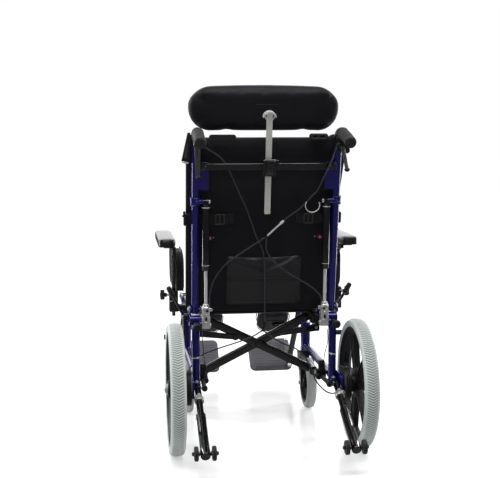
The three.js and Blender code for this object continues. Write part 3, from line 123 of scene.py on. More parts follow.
class WheelchairColours(bpy.types.PropertyGroup):
    """Colours of the chair's finishes and of the floor."""
    frame: colour_property("Frame", "21186f", "Powder coat of the side frames and back canes")
    tube: colour_property("Black tube", "0a0a0b", "Powder coat of the cross brace, springs and fittings")
    moulding: colour_property("Mouldings", "161618", "Black moulded wheels, levers and knobs")
    rubber: colour_property("Rubber", "1d1d1f", "Push grips and rollers")
    tyre: colour_property("Tyres", "e4ece8", "Rear tyres")
    caster_tread: colour_property("Caster treads", "cdd0ce", "Front tyres")
    cloth: colour_property("Back cloth", "15151b", "Coated cloth of the back and the headrest")
    pocket: colour_property("Pocket cloth", "18181d", "Shinier cloth of the back pocket")
    cushion: colour_property("Cushion cloth", "0f0f12", "Seat and hip cushions")
    webbing: colour_property("Webbing", "101014", "Straps of the back")
    pad: colour_property("Pads", "1b1b1f", "Arm pads and calf pads")
    footplate: colour_property("Footplates", "55555b", "Moulded footplates")
    buckle: colour_property("Buckles", "38383b", "Strap buckles and sliders")
    snap: colour_property("Snap rings", "941a2c", "Snap fasteners of the back")
    sheath: colour_property("Cable sheath", "3a3a3f", "Bowden cable sheaths")
    floor: colour_property("Floor", "f4f4f4", "Studio floor")


class WheelchairSizes(bpy.types.PropertyGroup):
    """Sizes of details that a user would change."""
    weave: length_property("Weave", 2.4, "Thread spacing of the back cloth, coarse enough to show")
    tread_pitch: length_property("Tread pitch", 8, "Spacing of the chevrons round the rear tyres")
    tread_depth: length_property("Tread depth", 2.0, "Depth of the grooves of the rear tyres")
    fold_depth: length_property("Pocket folds", 7, "Depth of the soft folds at the pocket's mouth")
    wrinkle: length_property("Wrinkles", 1.6, "Height of the slow waves of the back cloth")
    cable: length_property("Cable", 4.4, "Diameter of the cable sheaths")
    tie_width: length_property("Cable ties", 2.6, "Width of the ties on the uprights")
    swell: length_property("Cushion swell", 7, "How far a cushion's cover may swell from its cut")


# Materials

def put(tree, kind, inputs=None, links=None, **settings):
    """Adds one node with its settings, its socket values and its links."""
    node = tree.nodes.new(kind)
    for name, value in settings.items():
        setattr(node, name, value)
    for name, value in (inputs or {}).items():
        node.inputs[name].default_value = value
    for name, source in (links or {}).items():
        tree.links.new(source, node.inputs[name])
    return node


# The mesh attribute that marks the tyre's grooves, where painted shade darkens the colour
GROOVE_SHADE = "groove_shade"
# A Mix node's colour sockets: two go in and their mixture comes out
MIX_A, MIX_B, MIX_OUT = 6, 7, 2


def shade(colour, factor):
    return (*(min(value * factor, 1) for value in colour), 1)


def make_finish(name, colour, surface, roughness, patch, bump, spread=1.35, wear=0.0, groove_shade=0.0):
    """A material whose colour and roughness drift over patches of `patch` millimetres.

    `bump` is a function from the tree and the Object coordinates to a normal. `wear` is how much
    lighter the colour gets on outward edges, where hands and straps rub, and the last argument how
    much darker it gets in the grooves that the mesh's own attribute marks: a painted shade there.
    """
    material = bpy.data.materials.new(name)
    material.use_nodes = True
    tree = material.node_tree
    tree.nodes.clear()
    where = put(tree, "ShaderNodeTexCoord").outputs["Object"]
    cloud = put(tree, "ShaderNodeTexNoise", {"Scale": 1 / (patch * MM), "Detail": 3}, {"Vector": where})
    base = put(tree, "ShaderNodeMix", {MIX_A: shade(colour, 1 / spread), MIX_B: shade(colour, spread)},
               {0: cloud.outputs["Fac"]}, data_type="RGBA").outputs[MIX_OUT]
    if wear:
        pointed = put(tree, "ShaderNodeNewGeometry").outputs["Pointiness"]
        edge = put(tree, "ShaderNodeMapRange", {"From Min": 0.52, "From Max": 0.62, "To Max": wear},
                   {"Value": pointed})
        base = put(tree, "ShaderNodeMix", {MIX_B: shade(colour, 6)},
                   {0: edge.outputs["Result"], MIX_A: base}, data_type="RGBA").outputs[MIX_OUT]
    # Painted shade: the colour darkens where the mesh's attribute marks the tyre's grooves
    if groove_shade:
        groove_shade_mask = put(tree, "ShaderNodeAttribute", attribute_name=GROOVE_SHADE).outputs["Fac"]
        share = put(tree, "ShaderNodeMath", {1: groove_shade}, {0: groove_shade_mask}, operation="MULTIPLY")
        base = put(tree, "ShaderNodeMix", {MIX_B: shade(colour, 0.16)},
                   {0: share.outputs[0], MIX_A: base}, data_type="RGBA").outputs[MIX_OUT]
    smudge = put(tree, "ShaderNodeTexNoise", {"Scale": 0.6 / (patch * MM), "Detail": 4}, {"Vector": where})
    rough = put(tree, "ShaderNodeMapRange", {"To Min": roughness[0], "To Max": roughness[1]},
                {"Value": smudge.outputs["Fac"]})
    links = {"Base Color": base, "Roughness": rough.outputs["Result"], "Normal": bump(tree, where)}
    shader = put(tree, "ShaderNodeBsdfPrincipled", surface, links)
    put(tree, "ShaderNodeOutputMaterial", links={"Surface": shader.outputs["BSDF"]})
    return material


def grain(size, depth, strength=0.3):
    """Bump of an even grain of `size` millimetres, `depth` millimetres deep."""
    def build(tree, where):
        cloud = put(tree, "ShaderNodeTexNoise", {"Scale": 1 / (size * MM), "Detail": 2}, {"Vector": where})
        bump = put(tree, "ShaderNodeBump", {"Strength": strength, "Distance": depth * MM},
                   {"Height": cloud.outputs["Fac"]})
        return bump.outputs["Normal"]
    return build


def weave(pitch, depth, strength=0.5):
    """Bump of a square weave with threads `pitch` metres apart, over a slow unevenness of the cloth."""
    def build(tree, where):
        scale = FULL_TURN / (20 * pitch)
        threads = [
            put(tree, "ShaderNodeTexWave", {"Scale": scale, "Distortion": 0.6, "Detail": 1},
                {"Vector": where}, bands_direction=direction).outputs["Fac"]
            for direction in ("X", "Z")
        ]
        height = put(tree, "ShaderNodeMath", {}, {0: threads[0], 1: threads[1]}, operation="MULTIPLY")
        fine = put(tree, "ShaderNodeBump", {"Strength": strength, "Distance": depth * MM},
                   {"Height": height.outputs[0]})
        cloud = put(tree, "ShaderNodeTexNoise", {"Scale": 1 / (22 * MM), "Detail": 3}, {"Vector": where})
        slow = put(tree, "ShaderNodeBump", {"Strength": 0.3, "Distance": 1.5 * MM},
                   {"Height": cloud.outputs["Fac"], "Normal": fine.outputs["Normal"]})
        return slow.outputs["Normal"]
    return build


FINISHES = {}


def make_finishes(colours, sizes):
    """Every finish of the chair, from what the real one is and how it was made."""
    # Gloss powder coat on steel tube: a faint orange peel breaks up its long highlights
    FINISHES["frame"] = make_finish(
        "Gloss_powder_coat_indigo", colours.frame,
        {"Metallic": 0.45, "Specular IOR Level": 0.5, "Coat Weight": 0.6, "Coat Roughness": 0.05},
        (0.2, 0.3), 60, grain(2.6, 0.08, 0.1), 1.15, 0.06)
    # Gloss black powder coat: finer peel, so that edges and tubes carry thin white lines
    FINISHES["tube"] = make_finish(
        "Gloss_powder_coat_black", colours.tube,
        {"Specular IOR Level": 0.7, "Coat Weight": 1.0, "Coat Roughness": 0.05},
        (0.14, 0.24), 40, grain(1.8, 0.05, 0.1), 1.2, 0.04)
    # Glass filled nylon, injection moulded: even spark eroded texture, slightly rubbed edges
    FINISHES["moulding"] = make_finish(
        "Glass_filled_nylon_black", colours.moulding, {"IOR": 1.53},
        (0.36, 0.52), 25, grain(0.9, 0.08), 1.2, 0.06)
    # Soft grip rubber: matt with a slight bloom
    FINISHES["rubber"] = make_finish(
        "Grip_rubber_black", colours.rubber, {"IOR": 1.5, "Sheen Weight": 0.15},
        (0.5, 0.68), 22, grain(1.4, 0.12), 1.2, 0.03)
    # Foamed polyurethane: chalky skin, with painted shade darkening the grooves of the tread
    FINISHES["tyre"] = make_finish(
        "Foamed_polyurethane_grey", colours.tyre, {"IOR": 1.49},
        (0.62, 0.82), 30, grain(1.6, 0.15), 1.07, groove_shade=0.9)
    # Cast polyurethane: smoother and a little translucent to the eye
    FINISHES["caster_tread"] = make_finish(
        "Cast_polyurethane_grey", colours.caster_tread, {"IOR": 1.49},
        (0.45, 0.6), 20, grain(1.2, 0.1), 1.05)
    # Coated oxford nylon: square weave under a thin coat, with a faint sheen at grazing angles
    FINISHES["cloth"] = make_finish(
        "Coated_oxford_nylon_black", colours.cloth,
        {"IOR": 1.46, "Specular IOR Level": 0.3, "Sheen Weight": 0.06, "Sheen Roughness": 0.4},
        (0.5, 0.66), 70, weave(sizes.weave, 0.25), 1.25)
    # The pocket's taffeta carries a thicker, shinier coat and a finer weave
    FINISHES["pocket"] = make_finish(
        "Coated_nylon_taffeta_black", colours.pocket,
        {"IOR": 1.48, "Specular IOR Level": 0.8, "Sheen Weight": 0.05},
        (0.3, 0.42), 50, weave(sizes.weave * 0.7, 0.15, 0.35), 1.25)
    # Spacer knit over foam: open, soft and matt
    FINISHES["cushion"] = make_finish(
        "Spacer_knit_black", colours.cushion,
        {"IOR": 1.46, "Sheen Weight": 0.3, "Sheen Roughness": 0.5},
        (0.78, 0.92), 45, weave(sizes.weave * 1.2, 0.4, 0.6), 1.3)
    # Woven polyester tape: ribs across its width
    FINISHES["webbing"] = make_finish(
        "Polyester_webbing_black", colours.webbing, {"IOR": 1.5, "Sheen Weight": 0.2},
        (0.6, 0.75), 15, weave(sizes.weave * 0.6, 0.3, 0.7), 1.3)
    # Self skinned foam: leathery print, polished where arms rest
    FINISHES["pad"] = make_finish(
        "Integral_skin_foam_black", colours.pad, {"IOR": 1.5, "Coat Weight": 0.5, "Coat Roughness": 0.2},
        (0.3, 0.42), 30, grain(2.2, 0.1, 0.25), 1.2)
    # Moulded ABS: fine texture that greys the edges
    FINISHES["footplate"] = make_finish(
        "Moulded_ABS_grey", colours.footplate, {"IOR": 1.53},
        (0.42, 0.58), 35, grain(1.2, 0.1), 1.12, 0.04)
    # Moulded acetal: waxy, a little glossier than the nylon of the levers
    FINISHES["buckle"] = make_finish(
        "Moulded_acetal_grey", colours.buckle, {"IOR": 1.48},
        (0.3, 0.45), 12, grain(1.0, 0.08, 0.2), 1.15, 0.05)
    # Moulded polypropylene, polished mould: a small bright point on a strong red
    FINISHES["snap"] = make_finish(
        "Moulded_polypropylene_red", colours.snap, {"IOR": 1.49},
        (0.28, 0.42), 8, grain(1.0, 0.05, 0.2), 1.15)
    # Unfilled nylon in its own colour: ties and the ferrule look milky white
    FINISHES["white"] = make_finish(
        "Moulded_nylon_white", linear("dededa"), {"IOR": 1.53},
        (0.35, 0.5), 8, grain(1.0, 0.05, 0.2), 1.04)
    # Extruded PVC over a steel spiral: smooth with a soft highlight along it
    FINISHES["sheath"] = make_finish(
        "Extruded_PVC_black", colours.sheath, {"IOR": 1.53},
        (0.24, 0.38), 12, grain(2.0, 0.05, 0.15), 1.15)
    # Bright zinc plate: cloudy, crystalline patches
    FINISHES["zinc"] = make_finish(
        "Zinc_plated_steel", linear("e4e4e2"), {"Metallic": 0.7},
        (0.25, 0.42), 9, grain(3.0, 0.1, 0.2), 1.15)
    # Drawn flat bar: brushed along its length, a little stained
    FINISHES["steel"] = make_finish(
        "Brushed_steel_bar", linear("e2e0da"), {"Metallic": 0.45},
        (0.4, 0.55), 16, grain(0.8, 0.05, 0.15), 1.1)
    # Satin hard chrome on the piston rods and collars
    FINISHES["chrome"] = make_finish(
        "Hard_chrome", linear("dededf"), {"Metallic": 0.3},
        (0.3, 0.4), 40, grain(4.0, 0.03, 0.05), 1.03)


# Lines and outlines

def direction_matrix(start, end):
    """Puts the XY plane at start with Z towards end."""
    return Matrix.Translation(start) @ (end - start).to_track_quat("Z", "Y").to_matrix().to_4x4()


def bent(corners, radii, steps=8):
    """Points along straight runs joined by round bends."""
    corners = [Vector(corner) for corner in corners]
    radii = radii if isinstance(radii, (list, tuple)) else [radii] * (len(corners) - 2)
    points = [corners[0]]
    for before, corner, after, radius in zip(corners, corners[1:], corners[2:], radii):
        ahead = (corner - before).normalized()
        onward = (after - corner).normalized()
        angle = ahead.angle(onward)
        start = corner - ahead * radius * math.tan(angle / 2)
        inward = (onward - ahead * onward.dot(ahead)).normalized()
        points += [start + ahead * radius * math.sin(angle * step / steps)
                   + inward * radius * (1 - math.cos(angle * step / steps)) for step in range(steps + 1)]
    return points + [corners[-1]]


def flowing(points, steps=6):
    """A smooth line through points."""
    points = [Vector(point) for point in points]
    ends = [points[0] * 2 - points[1], *points, points[-1] * 2 - points[-2]]
    line = []
    for a, b, c, d in zip(ends, ends[1:], ends[2:], ends[3:]):
        for step in range(steps):
            t = step / steps
            line.append((b * 2 + (c - a) * t + (a * 2 - b * 5 + c * 4 - d) * t * t
                         + (b * 3 - a - c * 3 + d) * t * t * t) / 2)
    return line + [points[-1]]


def arc(centre, radius, start, end, steps=8):
    """Points of an arc, angles in degrees."""
    angles = [math.radians(start + (end - start) * step / steps) for step in range(steps + 1)]
    return [(centre[0] + radius * math.cos(a), centre[1] + radius * math.sin(a)) for a in angles]


def circle(centre, radius, steps=24):
    return arc(centre, radius, 0, 360, steps)[:-1]


def rounded(u, v, radius, steps=6):
    """Outline of a rectangle with round corners. u and v are low and high."""
    corners = ((u[1], v[0], -90), (u[1], v[1], 0), (u[0], v[1], 90), (u[0], v[0], 180))
    points = []
    for x, y, start in corners:
        centre = (x - radius if x == u[1] else x + radius, y - radius if y == v[1] else y + radius)
        points += arc(centre, radius, start, start + 90, steps)
    return points


def strap_outline(a, b, radius_a, radius_b=None, steps=10):
    """Outline of a strap with a round end about each of two points."""
    along = math.degrees(math.atan2(b[1] - a[1], b[0] - a[0]))
    far = arc(b, radius_b or radius_a, along - 90, along + 90, steps)
    return arc(a, radius_a, along + 90, along + 270, steps) + far


def turned(points, degrees):
    """Points of an outline turned round its origin."""
    c, s = math.cos(math.radians(degrees)), math.sin(math.radians(degrees))
    return [(u * c - v * s, u * s + v * c) for u, v in points]


def round_corners(points, reach, steps=5):
    """An outline with its sharp corners cut to curves that start `reach` before them."""
    points = [Vector(point) for point in points]
    result = []
    for before, corner, after in zip(points[-1:] + points[:-1], points, points[1:] + points[:1]):
        if (corner - before).angle(after - corner) < math.radians(30):
            result.append(corner)
            continue
        start = corner + (before - corner).normalized() * reach
        end = corner + (after - corner).normalized() * reach
        for step in range(steps + 1):
            t = step / steps
            result.append(start * (1 - t) ** 2 + corner * 2 * t * (1 - t) + end * t * t)
    return [tuple(point) for point in result]


def ramp(low, high, value):
    """0 at low, 1 at high, smooth between."""
    t = min(max((value - low) / (high - low), 0), 1)
    return t * t * (3 - 2 * t)


def square_to_round(u, v, half_u, half_v, radius):
    """Moves a point of a rectangle so that its corners turn round."""
    du, dv = abs(u) - (half_u - radius), abs(v) - (half_v - radius)
    if du <= 0 or dv <= 0:
        return u, v
    scale = max(du, dv) / math.hypot(du, dv)
    return (math.copysign(half_u - radius + du * scale, u), math.copysign(half_v - radius + dv * scale, v))


def crease(x, z, start, end, width):
    """How much of a fold that runs from start to end a point feels, 1 on its line."""
    line = Vector(end) - Vector(start)
    along = min(max((Vector((x, z)) - Vector(start)).dot(line) / line.length_squared, 0), 1)
    away = (Vector((x, z)) - Vector(start) - line * along).length
    return math.exp(-(away / width) ** 2) * math.sin(math.pi * (0.15 + 0.7 * along))


# Shapes

AXES = {
    "X": Matrix(((0, 0, 1, 0), (1, 0, 0, 0), (0, 1, 0, 0), (0, 0, 0, 1))),
    "Y": Matrix(((1, 0, 0, 0), (0, 0, 1, 0), (0, 1, 0, 0), (0, 0, 0, 1))),
    "Z": Matrix(),
}


class Shape:
    """A piece in the making, in millimetres, from closed forms added one by one."""

    def __init__(self):
        self.mesh = bmesh.new()

    def add(self, form, matrix=Matrix()):
        bmesh.ops.transform(form, matrix=matrix, verts=form.verts)
        scratch = bpy.data.meshes.new("scratch")
        form.to_mesh(scratch)
        form.free()
        self.mesh.from_mesh(scratch)
        bpy.data.meshes.remove(scratch)
        return self

    def tube(self, points, radius, sides=24, flat=1.0, up=(0.03, 0.11, 1), matrix=Matrix()):
        """A round or oval section along a path. `radius` is one value or one for each point."""
        points = [Vector(point) for point in points]
        radii = radius if isinstance(radius, (list, tuple)) else [radius] * len(points)
        form = bmesh.new()
        up = Vector(up)
        if abs((points[1] - points[0]).normalized().dot(up.normalized())) > 0.95:
            up = Vector((1, 0.07, 0.03))
        last = None
        for i, here in enumerate(points):
            ahead = (points[min(i + 1, len(points) - 1)] - points[max(i - 1, 0)]).normalized()
            up = (up - ahead * up.dot(ahead)).normalized()
            turn = Matrix((up, ahead.cross(up), ahead)).transposed().to_4x4()
            section = Matrix.Translation(here) @ turn @ Matrix.Diagonal((radii[i], radii[i] * flat, 1, 1))
            if last is None:
                bmesh.ops.create_circle(form, segments=sides, radius=1, matrix=section)
                first = edges = list(form.edges)
            else:
                grown = bmesh.ops.extrude_edge_only(form, edges=edges)["geom"]
                ring = {g for g in grown if isinstance(g, bmesh.types.BMVert)}
                edges = [g for g in grown if isinstance(g, bmesh.types.BMEdge) and set(g.verts) <= ring]
                bmesh.ops.transform(form, matrix=section @ last.inverted(), verts=list(ring))
            last = section
        bmesh.ops.edgeloop_fill(form, edges=first)
        bmesh.ops.edgeloop_fill(form, edges=edges)
        return self.add(form, matrix)

    def rod(self, start, end, radius, radius_end=None, sides=24):
        start, end = Vector(start), Vector(end)
        form = bmesh.new()
        length = (end - start).length
        bmesh.ops.create_cone(form, cap_ends=True, segments=sides, radius1=radius,
                              radius2=radius if radius_end is None else radius_end, depth=length,
                              matrix=shift(0, 0, length / 2))
        return self.add(form, direction_matrix(start, end))

    def nut(self, start, end, across, washer=0.0):
        """A hexagon with a washer under it and a rounded crown."""
        start, end = Vector(start), Vector(end)
        ahead = (end - start).normalized()
        self.rod(start + ahead * washer, end, across / 2, sides=6)
        self.rod(end, end + ahead * across * 0.1, across * 0.34, across * 0.24, sides=16)
        if washer:
            self.rod(start, start + ahead * washer, across * 0.7, sides=24)
        return self

    def box(self, x, y, z, matrix=Matrix()):
        form = bmesh.new()
        size = Matrix.Diagonal((x[1] - x[0], y[1] - y[0], z[1] - z[0], 1))
        middle = shift((x[0] + x[1]) / 2, (y[0] + y[1]) / 2, (z[0] + z[1]) / 2)
        bmesh.ops.create_cube(form, size=1, matrix=middle @ size)
        return self.add(form, matrix)

    def plate(self, outline, axis, span, holes=(), matrix=Matrix()):
        """A flat outline, with holes, drawn square to an axis and given a thickness along it."""
        form = bmesh.new()
        for loop in (outline, *holes):
            verts = [form.verts.new((u, v, 0)) for u, v in loop]
            for pair in zip(verts, verts[1:] + verts[:1]):
                form.edges.new(pair)
        bmesh.ops.triangle_fill(form, use_beauty=True, use_dissolve=False, edges=form.edges,
                                normal=(0, 0, 1))
        bmesh.ops.dissolve_limit(form, angle_limit=0.01, verts=form.verts, edges=form.edges)
        grown = bmesh.ops.extrude_face_region(form, geom=form.faces[:])["geom"]
        verts = [g for g in grown if isinstance(g, bmesh.types.BMVert)]
        bmesh.ops.translate(form, vec=(0, 0, span[1] - span[0]), verts=verts)
        bmesh.ops.translate(form, vec=(0, 0, span[0]), verts=form.verts)
        return self.add(form, matrix @ AXES[axis])

    def lathe(self, profile, axis="Z", place=(0, 0, 0), sides=48, matrix=Matrix(), carve=None):
        """Spins pairs of radius and height round an axis, closing a profile that starts off the axis.

        `carve` may move each point of the result.
        """
        form = bmesh.new()
        loop = [*profile, profile[0]] if profile[0][0] else profile
        verts = [form.verts.new((radius, 0, height)) for radius, height in loop]
        edges = [form.edges.new(pair) for pair in zip(verts, verts[1:])]
        bmesh.ops.spin(form, geom=verts + edges, cent=(0, 0, 0), axis=(0, 0, 1), angle=FULL_TURN,
                       steps=sides, use_merge=True)
        bmesh.ops.remove_doubles(form, verts=form.verts, dist=1e-4)
        if carve:
            for vert in form.verts:
                vert.co = carve(vert.co)
        return self.add(form, matrix @ Matrix.Translation(place) @ AXES[axis])

    def sleeve(self, inner, outer, low, high, axis="Z", place=(0, 0, 0), sides=48, matrix=Matrix()):
        """A plain hollow cylinder between two radii and two heights."""
        profile = ((inner, low), (outer, low), (outer, high), (inner, high))
        return self.lathe(profile, axis, place, sides, matrix)

    def ring(self, place, axis, radius, thickness, sides=32, matrix=Matrix()):
        """A round ring about an axis, such as a weld bead, a rib or a groove's lip."""
        return self.lathe(circle((radius, 0), thickness, 8), axis, place, sides, matrix)

    def ball(self, place, radius, scale=(1, 1, 1), matrix=Matrix()):
        form = bmesh.new()
        bmesh.ops.create_uvsphere(form, u_segments=20, v_segments=12, radius=radius)
        return self.add(form, matrix @ Matrix.Translation(place) @ Matrix.Diagonal((*scale, 1)))

    def soft(self, cuts, bend, matrix=Matrix()):
        """A block cut into a fine net whose points, from -1 to 1, `bend` turns into places."""
        form = bmesh.new()
        bmesh.ops.create_cube(form, size=2)
        for axis in range(3):
            along = [e for e in form.edges
                     if abs(abs((e.verts[0].co - e.verts[1].co)[axis]) - 2) < 1e-5]
            if cuts[axis]:
                bmesh.ops.subdivide_edges(form, edges=along, cuts=cuts[axis], use_grid_fill=True)
        for vert in form.verts:
            vert.co = Vector(bend(*vert.co))
        return self.add(form, matrix)

    def piece(self, name, finish, where, body, nodes=(), bevel=0.6, angle=36, smooth=0):
        """Ends the drawing: the shape becomes a piece that rides on a body and stands for CAD nodes."""
        if finish not in FINISHES:
            raise RuntimeError("Mix the finishes before making " + name)
        bmesh.ops.transform(self.mesh, matrix=where, verts=self.mesh.verts)
        bmesh.ops.recalc_face_normals(self.mesh, faces=self.mesh.faces)
        mesh = bpy.data.meshes.new(name)
        self.mesh.to_mesh(mesh)
        self.mesh.free()
        mesh.shade_smooth()
        mesh.set_sharp_from_angle(angle=math.radians(angle))
        mesh.materials.append(FINISHES[finish])
        piece = bpy.data.objects.new(name, mesh)
        bpy.context.scene.collection.objects.link(piece)
        if bevel:
            edges = piece.modifiers.new("Edges", "BEVEL")
            edges.width = bevel * MM
            edges.segments = 2
            edges.limit_method = "ANGLE"
            edges.angle_limit = math.radians(angle)
        if smooth:
            finer = piece.modifiers.new("Finer", "SUBSURF")
            finer.levels = smooth
            finer.render_levels = smooth
        if body:
            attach(piece, body)
        if nodes:
            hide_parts(*nodes)
        return piece


def freeze(piece):
    """Puts the result of a piece's modifiers into its mesh."""
    graph = bpy.context.evaluated_depsgraph_get()
    mesh = bpy.data.meshes.new_from_object(piece.evaluated_get(graph))
    piece.modifiers.clear()
    old = piece.data
    piece.data = mesh
    name = old.name
    bpy.data.meshes.remove(old)
    mesh.name = name


CLOTH_FRAMES = 20


def inflate(piece, voxel, swell, seated=False):
    """Swells a cover over its filling with a cloth simulation and keeps the result as a plain mesh.

    A seated cover lies on something, so that nothing of it moves down.
    """
    scene = bpy.context.scene
    remesh = piece.modifiers.new("Net", "REMESH")
    remesh.mode = "VOXEL"
    remesh.voxel_size = voxel * MM
    freeze(piece)
    before = [vert.co.copy() for vert in piece.data.vertices]
    cloth = piece.modifiers.new("Cloth", "CLOTH")
    cloth.settings.quality = 4
    cloth.settings.use_pressure = True
    cloth.settings.uniform_pressure_force = 4
    cloth.settings.effector_weights.gravity = 0
    cloth.point_cache.frame_start = 1
    cloth.point_cache.frame_end = CLOTH_FRAMES
    for number in range(1, CLOTH_FRAMES + 1):
        scene.frame_set(number)
    freeze(piece)
    scene.frame_set(1)
    for vert, start in zip(piece.data.vertices, before):
        moved = vert.co - start
        if moved.length > swell:
            vert.co = start + moved.normalized() * swell
        if seated:
            vert.co.z = max(vert.co.z, start.z)
    piece.data.shade_smooth()
    finer = piece.modifiers.new("Finer", "SUBSURF")
    finer.levels = 1
    finer.render_levels = 1
    return piece


def fold_with(piece):
    """Gives a soft piece its own copy of its mesh."""
    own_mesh(piece)


# Stage

CAMERA_PLACE = (-0.4364, -3.2955, 0.9501)
CAMERA_YAW, CAMERA_DIP, CAMERA_ROLL = -7.41, -5.68, -0.16
CAMERA_LENS = 71.15
# Metres from the chair's middle and the floor's glow there
FLOOR_NEAR, FLOOR_FAR = (0.7, 0.4), (4.2, 0.95)
# The room's even light, and the room and the floor's share of its colour as reflections see them
ROOM, ROOM_MIRRORED, FLOOR_MIRRORED = 0.18, 0.07, 0.22
WHITE, COOL = (1, 1, 1), (0.97, 0.97, 1)
# Each lamp's name, place, height that it aims at, width and height in metres, watts and tone
LAMPS = (
    ("Top", (0, -0.2, 3.0), 0.4, (3.4, 3.0), 18, WHITE),
    ("Top strip", (0, -1.1, 2.8), 0.4, (3.0, 0.4), 40, WHITE),
    ("Left strip", (-2.1, 0.9, 1.2), 0.6, (0.35, 2.5), 34, COOL),
    ("Right strip", (2.1, 0.9, 1.2), 0.6, (0.35, 2.5), 34, COOL),
    ("Rear", (0, 3.8, 1.7), 0.7, (5.0, 2.4), 55, WHITE),
    ("Fill", (-0.9, -3.6, 2.4), 0.6, (1.4, 1.0), 9, WHITE),
)


def area_light(name, place, aim_height, size, power, tone):
    light = bpy.data.lights.new(name, "AREA")
    light.shape = "RECTANGLE"
    light.size, light.size_y = size
    light.energy = power
    light.color = tone
    lamp = bpy.data.objects.new(name, light)
    lamp.visible_camera = False
    ahead = Vector((0, 0, aim_height)) - Vector(place)
    lamp.matrix_world = Matrix.Translation(place) @ ahead.to_track_quat("-Z", "Y").to_matrix().to_4x4()
    bpy.context.scene.collection.objects.link(lamp)


def make_world():
    """White where the camera looks past the object, a soft even light, and a dim room in reflections."""
    world = bpy.data.worlds.new("Studio")
    world.use_nodes = True
    tree = world.node_tree
    tree.nodes.clear()
    ray = put(tree, "ShaderNodeLightPath")
    direct = put(tree, "ShaderNodeMath", {}, {0: ray.outputs["Is Camera Ray"],
                                              1: ray.outputs["Is Transmission Ray"]}, operation="MAXIMUM")
    even = put(tree, "ShaderNodeMapRange", {"To Min": ROOM, "To Max": ROOM_MIRRORED},
               {"Value": ray.outputs["Is Glossy Ray"]})
    soft = put(tree, "ShaderNodeBackground", {"Color": (*WHITE, 1)}, {"Strength": even.outputs["Result"]})
    white = put(tree, "ShaderNodeBackground", {"Color": (*WHITE, 1), "Strength": 1.0})
    both = put(tree, "ShaderNodeMixShader", {}, {0: direct.outputs[0], 1: soft.outputs[0],
                                                 2: white.outputs[0]})
    put(tree, "ShaderNodeOutputWorld", links={"Surface": both.outputs[0]})
    bpy.context.scene.world = world


def make_floor(colour):
    """A white floor, dim in reflections, with a glow for the camera where the light falls off."""
    mesh = bpy.data.meshes.new("Floor")
    form = bmesh.new()
    bmesh.ops.create_grid(form, x_segments=1, y_segments=1, size=9)
    form.to_mesh(mesh)
    form.free()
    floor = bpy.data.objects.new("Floor", mesh)
    bpy.context.scene.collection.objects.link(floor)
    material = bpy.data.materials.new("Studio_floor_white")
    material.use_nodes = True
    tree = material.node_tree
    tree.nodes.clear()
    where = put(tree, "ShaderNodeTexCoord").outputs["Object"]
    cloud = put(tree, "ShaderNodeTexNoise", {"Scale": 3.0, "Detail": 2}, {"Vector": where})
    rough = put(tree, "ShaderNodeMapRange", {"To Min": 0.14, "To Max": 0.22},
                {"Value": cloud.outputs["Fac"]})
    away = put(tree, "ShaderNodeVectorMath", {}, {0: where}, operation="LENGTH")
    rise = put(tree, "ShaderNodeMapRange",
               {"From Min": FLOOR_NEAR[0], "From Max": FLOOR_FAR[0], "To Min": FLOOR_NEAR[1],
                "To Max": FLOOR_FAR[1]}, {"Value": away.outputs["Value"]})
    ray = put(tree, "ShaderNodeLightPath")
    glow = put(tree, "ShaderNodeMath", {}, {0: rise.outputs["Result"], 1: ray.outputs["Is Camera Ray"]},
               operation="MULTIPLY")
    mirrored = put(tree, "ShaderNodeMix", {MIX_A: shade(colour, 1), MIX_B: shade(colour, FLOOR_MIRRORED)},
                   {0: ray.outputs["Is Glossy Ray"]}, data_type="RGBA").outputs[MIX_OUT]
    shader = put(tree, "ShaderNodeBsdfPrincipled", {"Emission Color": (*WHITE, 1)},
                 {"Base Color": mirrored, "Roughness": rough.outputs["Result"],
                  "Emission Strength": glow.outputs[0]})
    put(tree, "ShaderNodeOutputMaterial", links={"Surface": shader.outputs["BSDF"]})
    mesh.materials.append(material)


class WHEELCHAIR_OT_stage(bpy.types.Operator):
    """Adds the camera, the studio lights and the floor"""
    bl_idname = "wheelchair.stage"
    bl_label = "Stage"

    def execute(self, context):
        scene = context.scene
        lens = bpy.data.cameras.new("Camera")
        lens.lens = CAMERA_LENS
        lens.sensor_width = 36
        lens.sensor_fit = "HORIZONTAL"
        camera = bpy.data.objects.new("Camera", lens)
        camera.matrix_world = (Matrix.Translation(CAMERA_PLACE) @ tilt(CAMERA_YAW, "Z")
                               @ tilt(90 + CAMERA_DIP) @ tilt(CAMERA_ROLL, "Z"))
        scene.collection.objects.link(camera)
        scene.camera = camera
        scene.view_settings.view_transform = "Standard"
        make_world()
        make_floor(scene.wheelchair_colours.floor)
        for lamp in LAMPS:
            area_light(*lamp)
        return {"FINISHED"}


class WHEELCHAIR_OT_finishes(bpy.types.Operator):
    """Mixes the materials of the chair from its colours"""
    bl_idname = "wheelchair.finishes"
    bl_label = "Finishes"

    def execute(self, context):
        make_finishes(context.scene.wheelchair_colours, context.scene.wheelchair_sizes)
        return {"FINISHED"}


# Cables

# Routes as the cables hang: the release cable's in the back's plane, the brake cable's on the chair
RELEASE_TIE = (1, -22, 237)
RELEASE_FERRULE = ((50, -22, 284), (42, -22, 276))
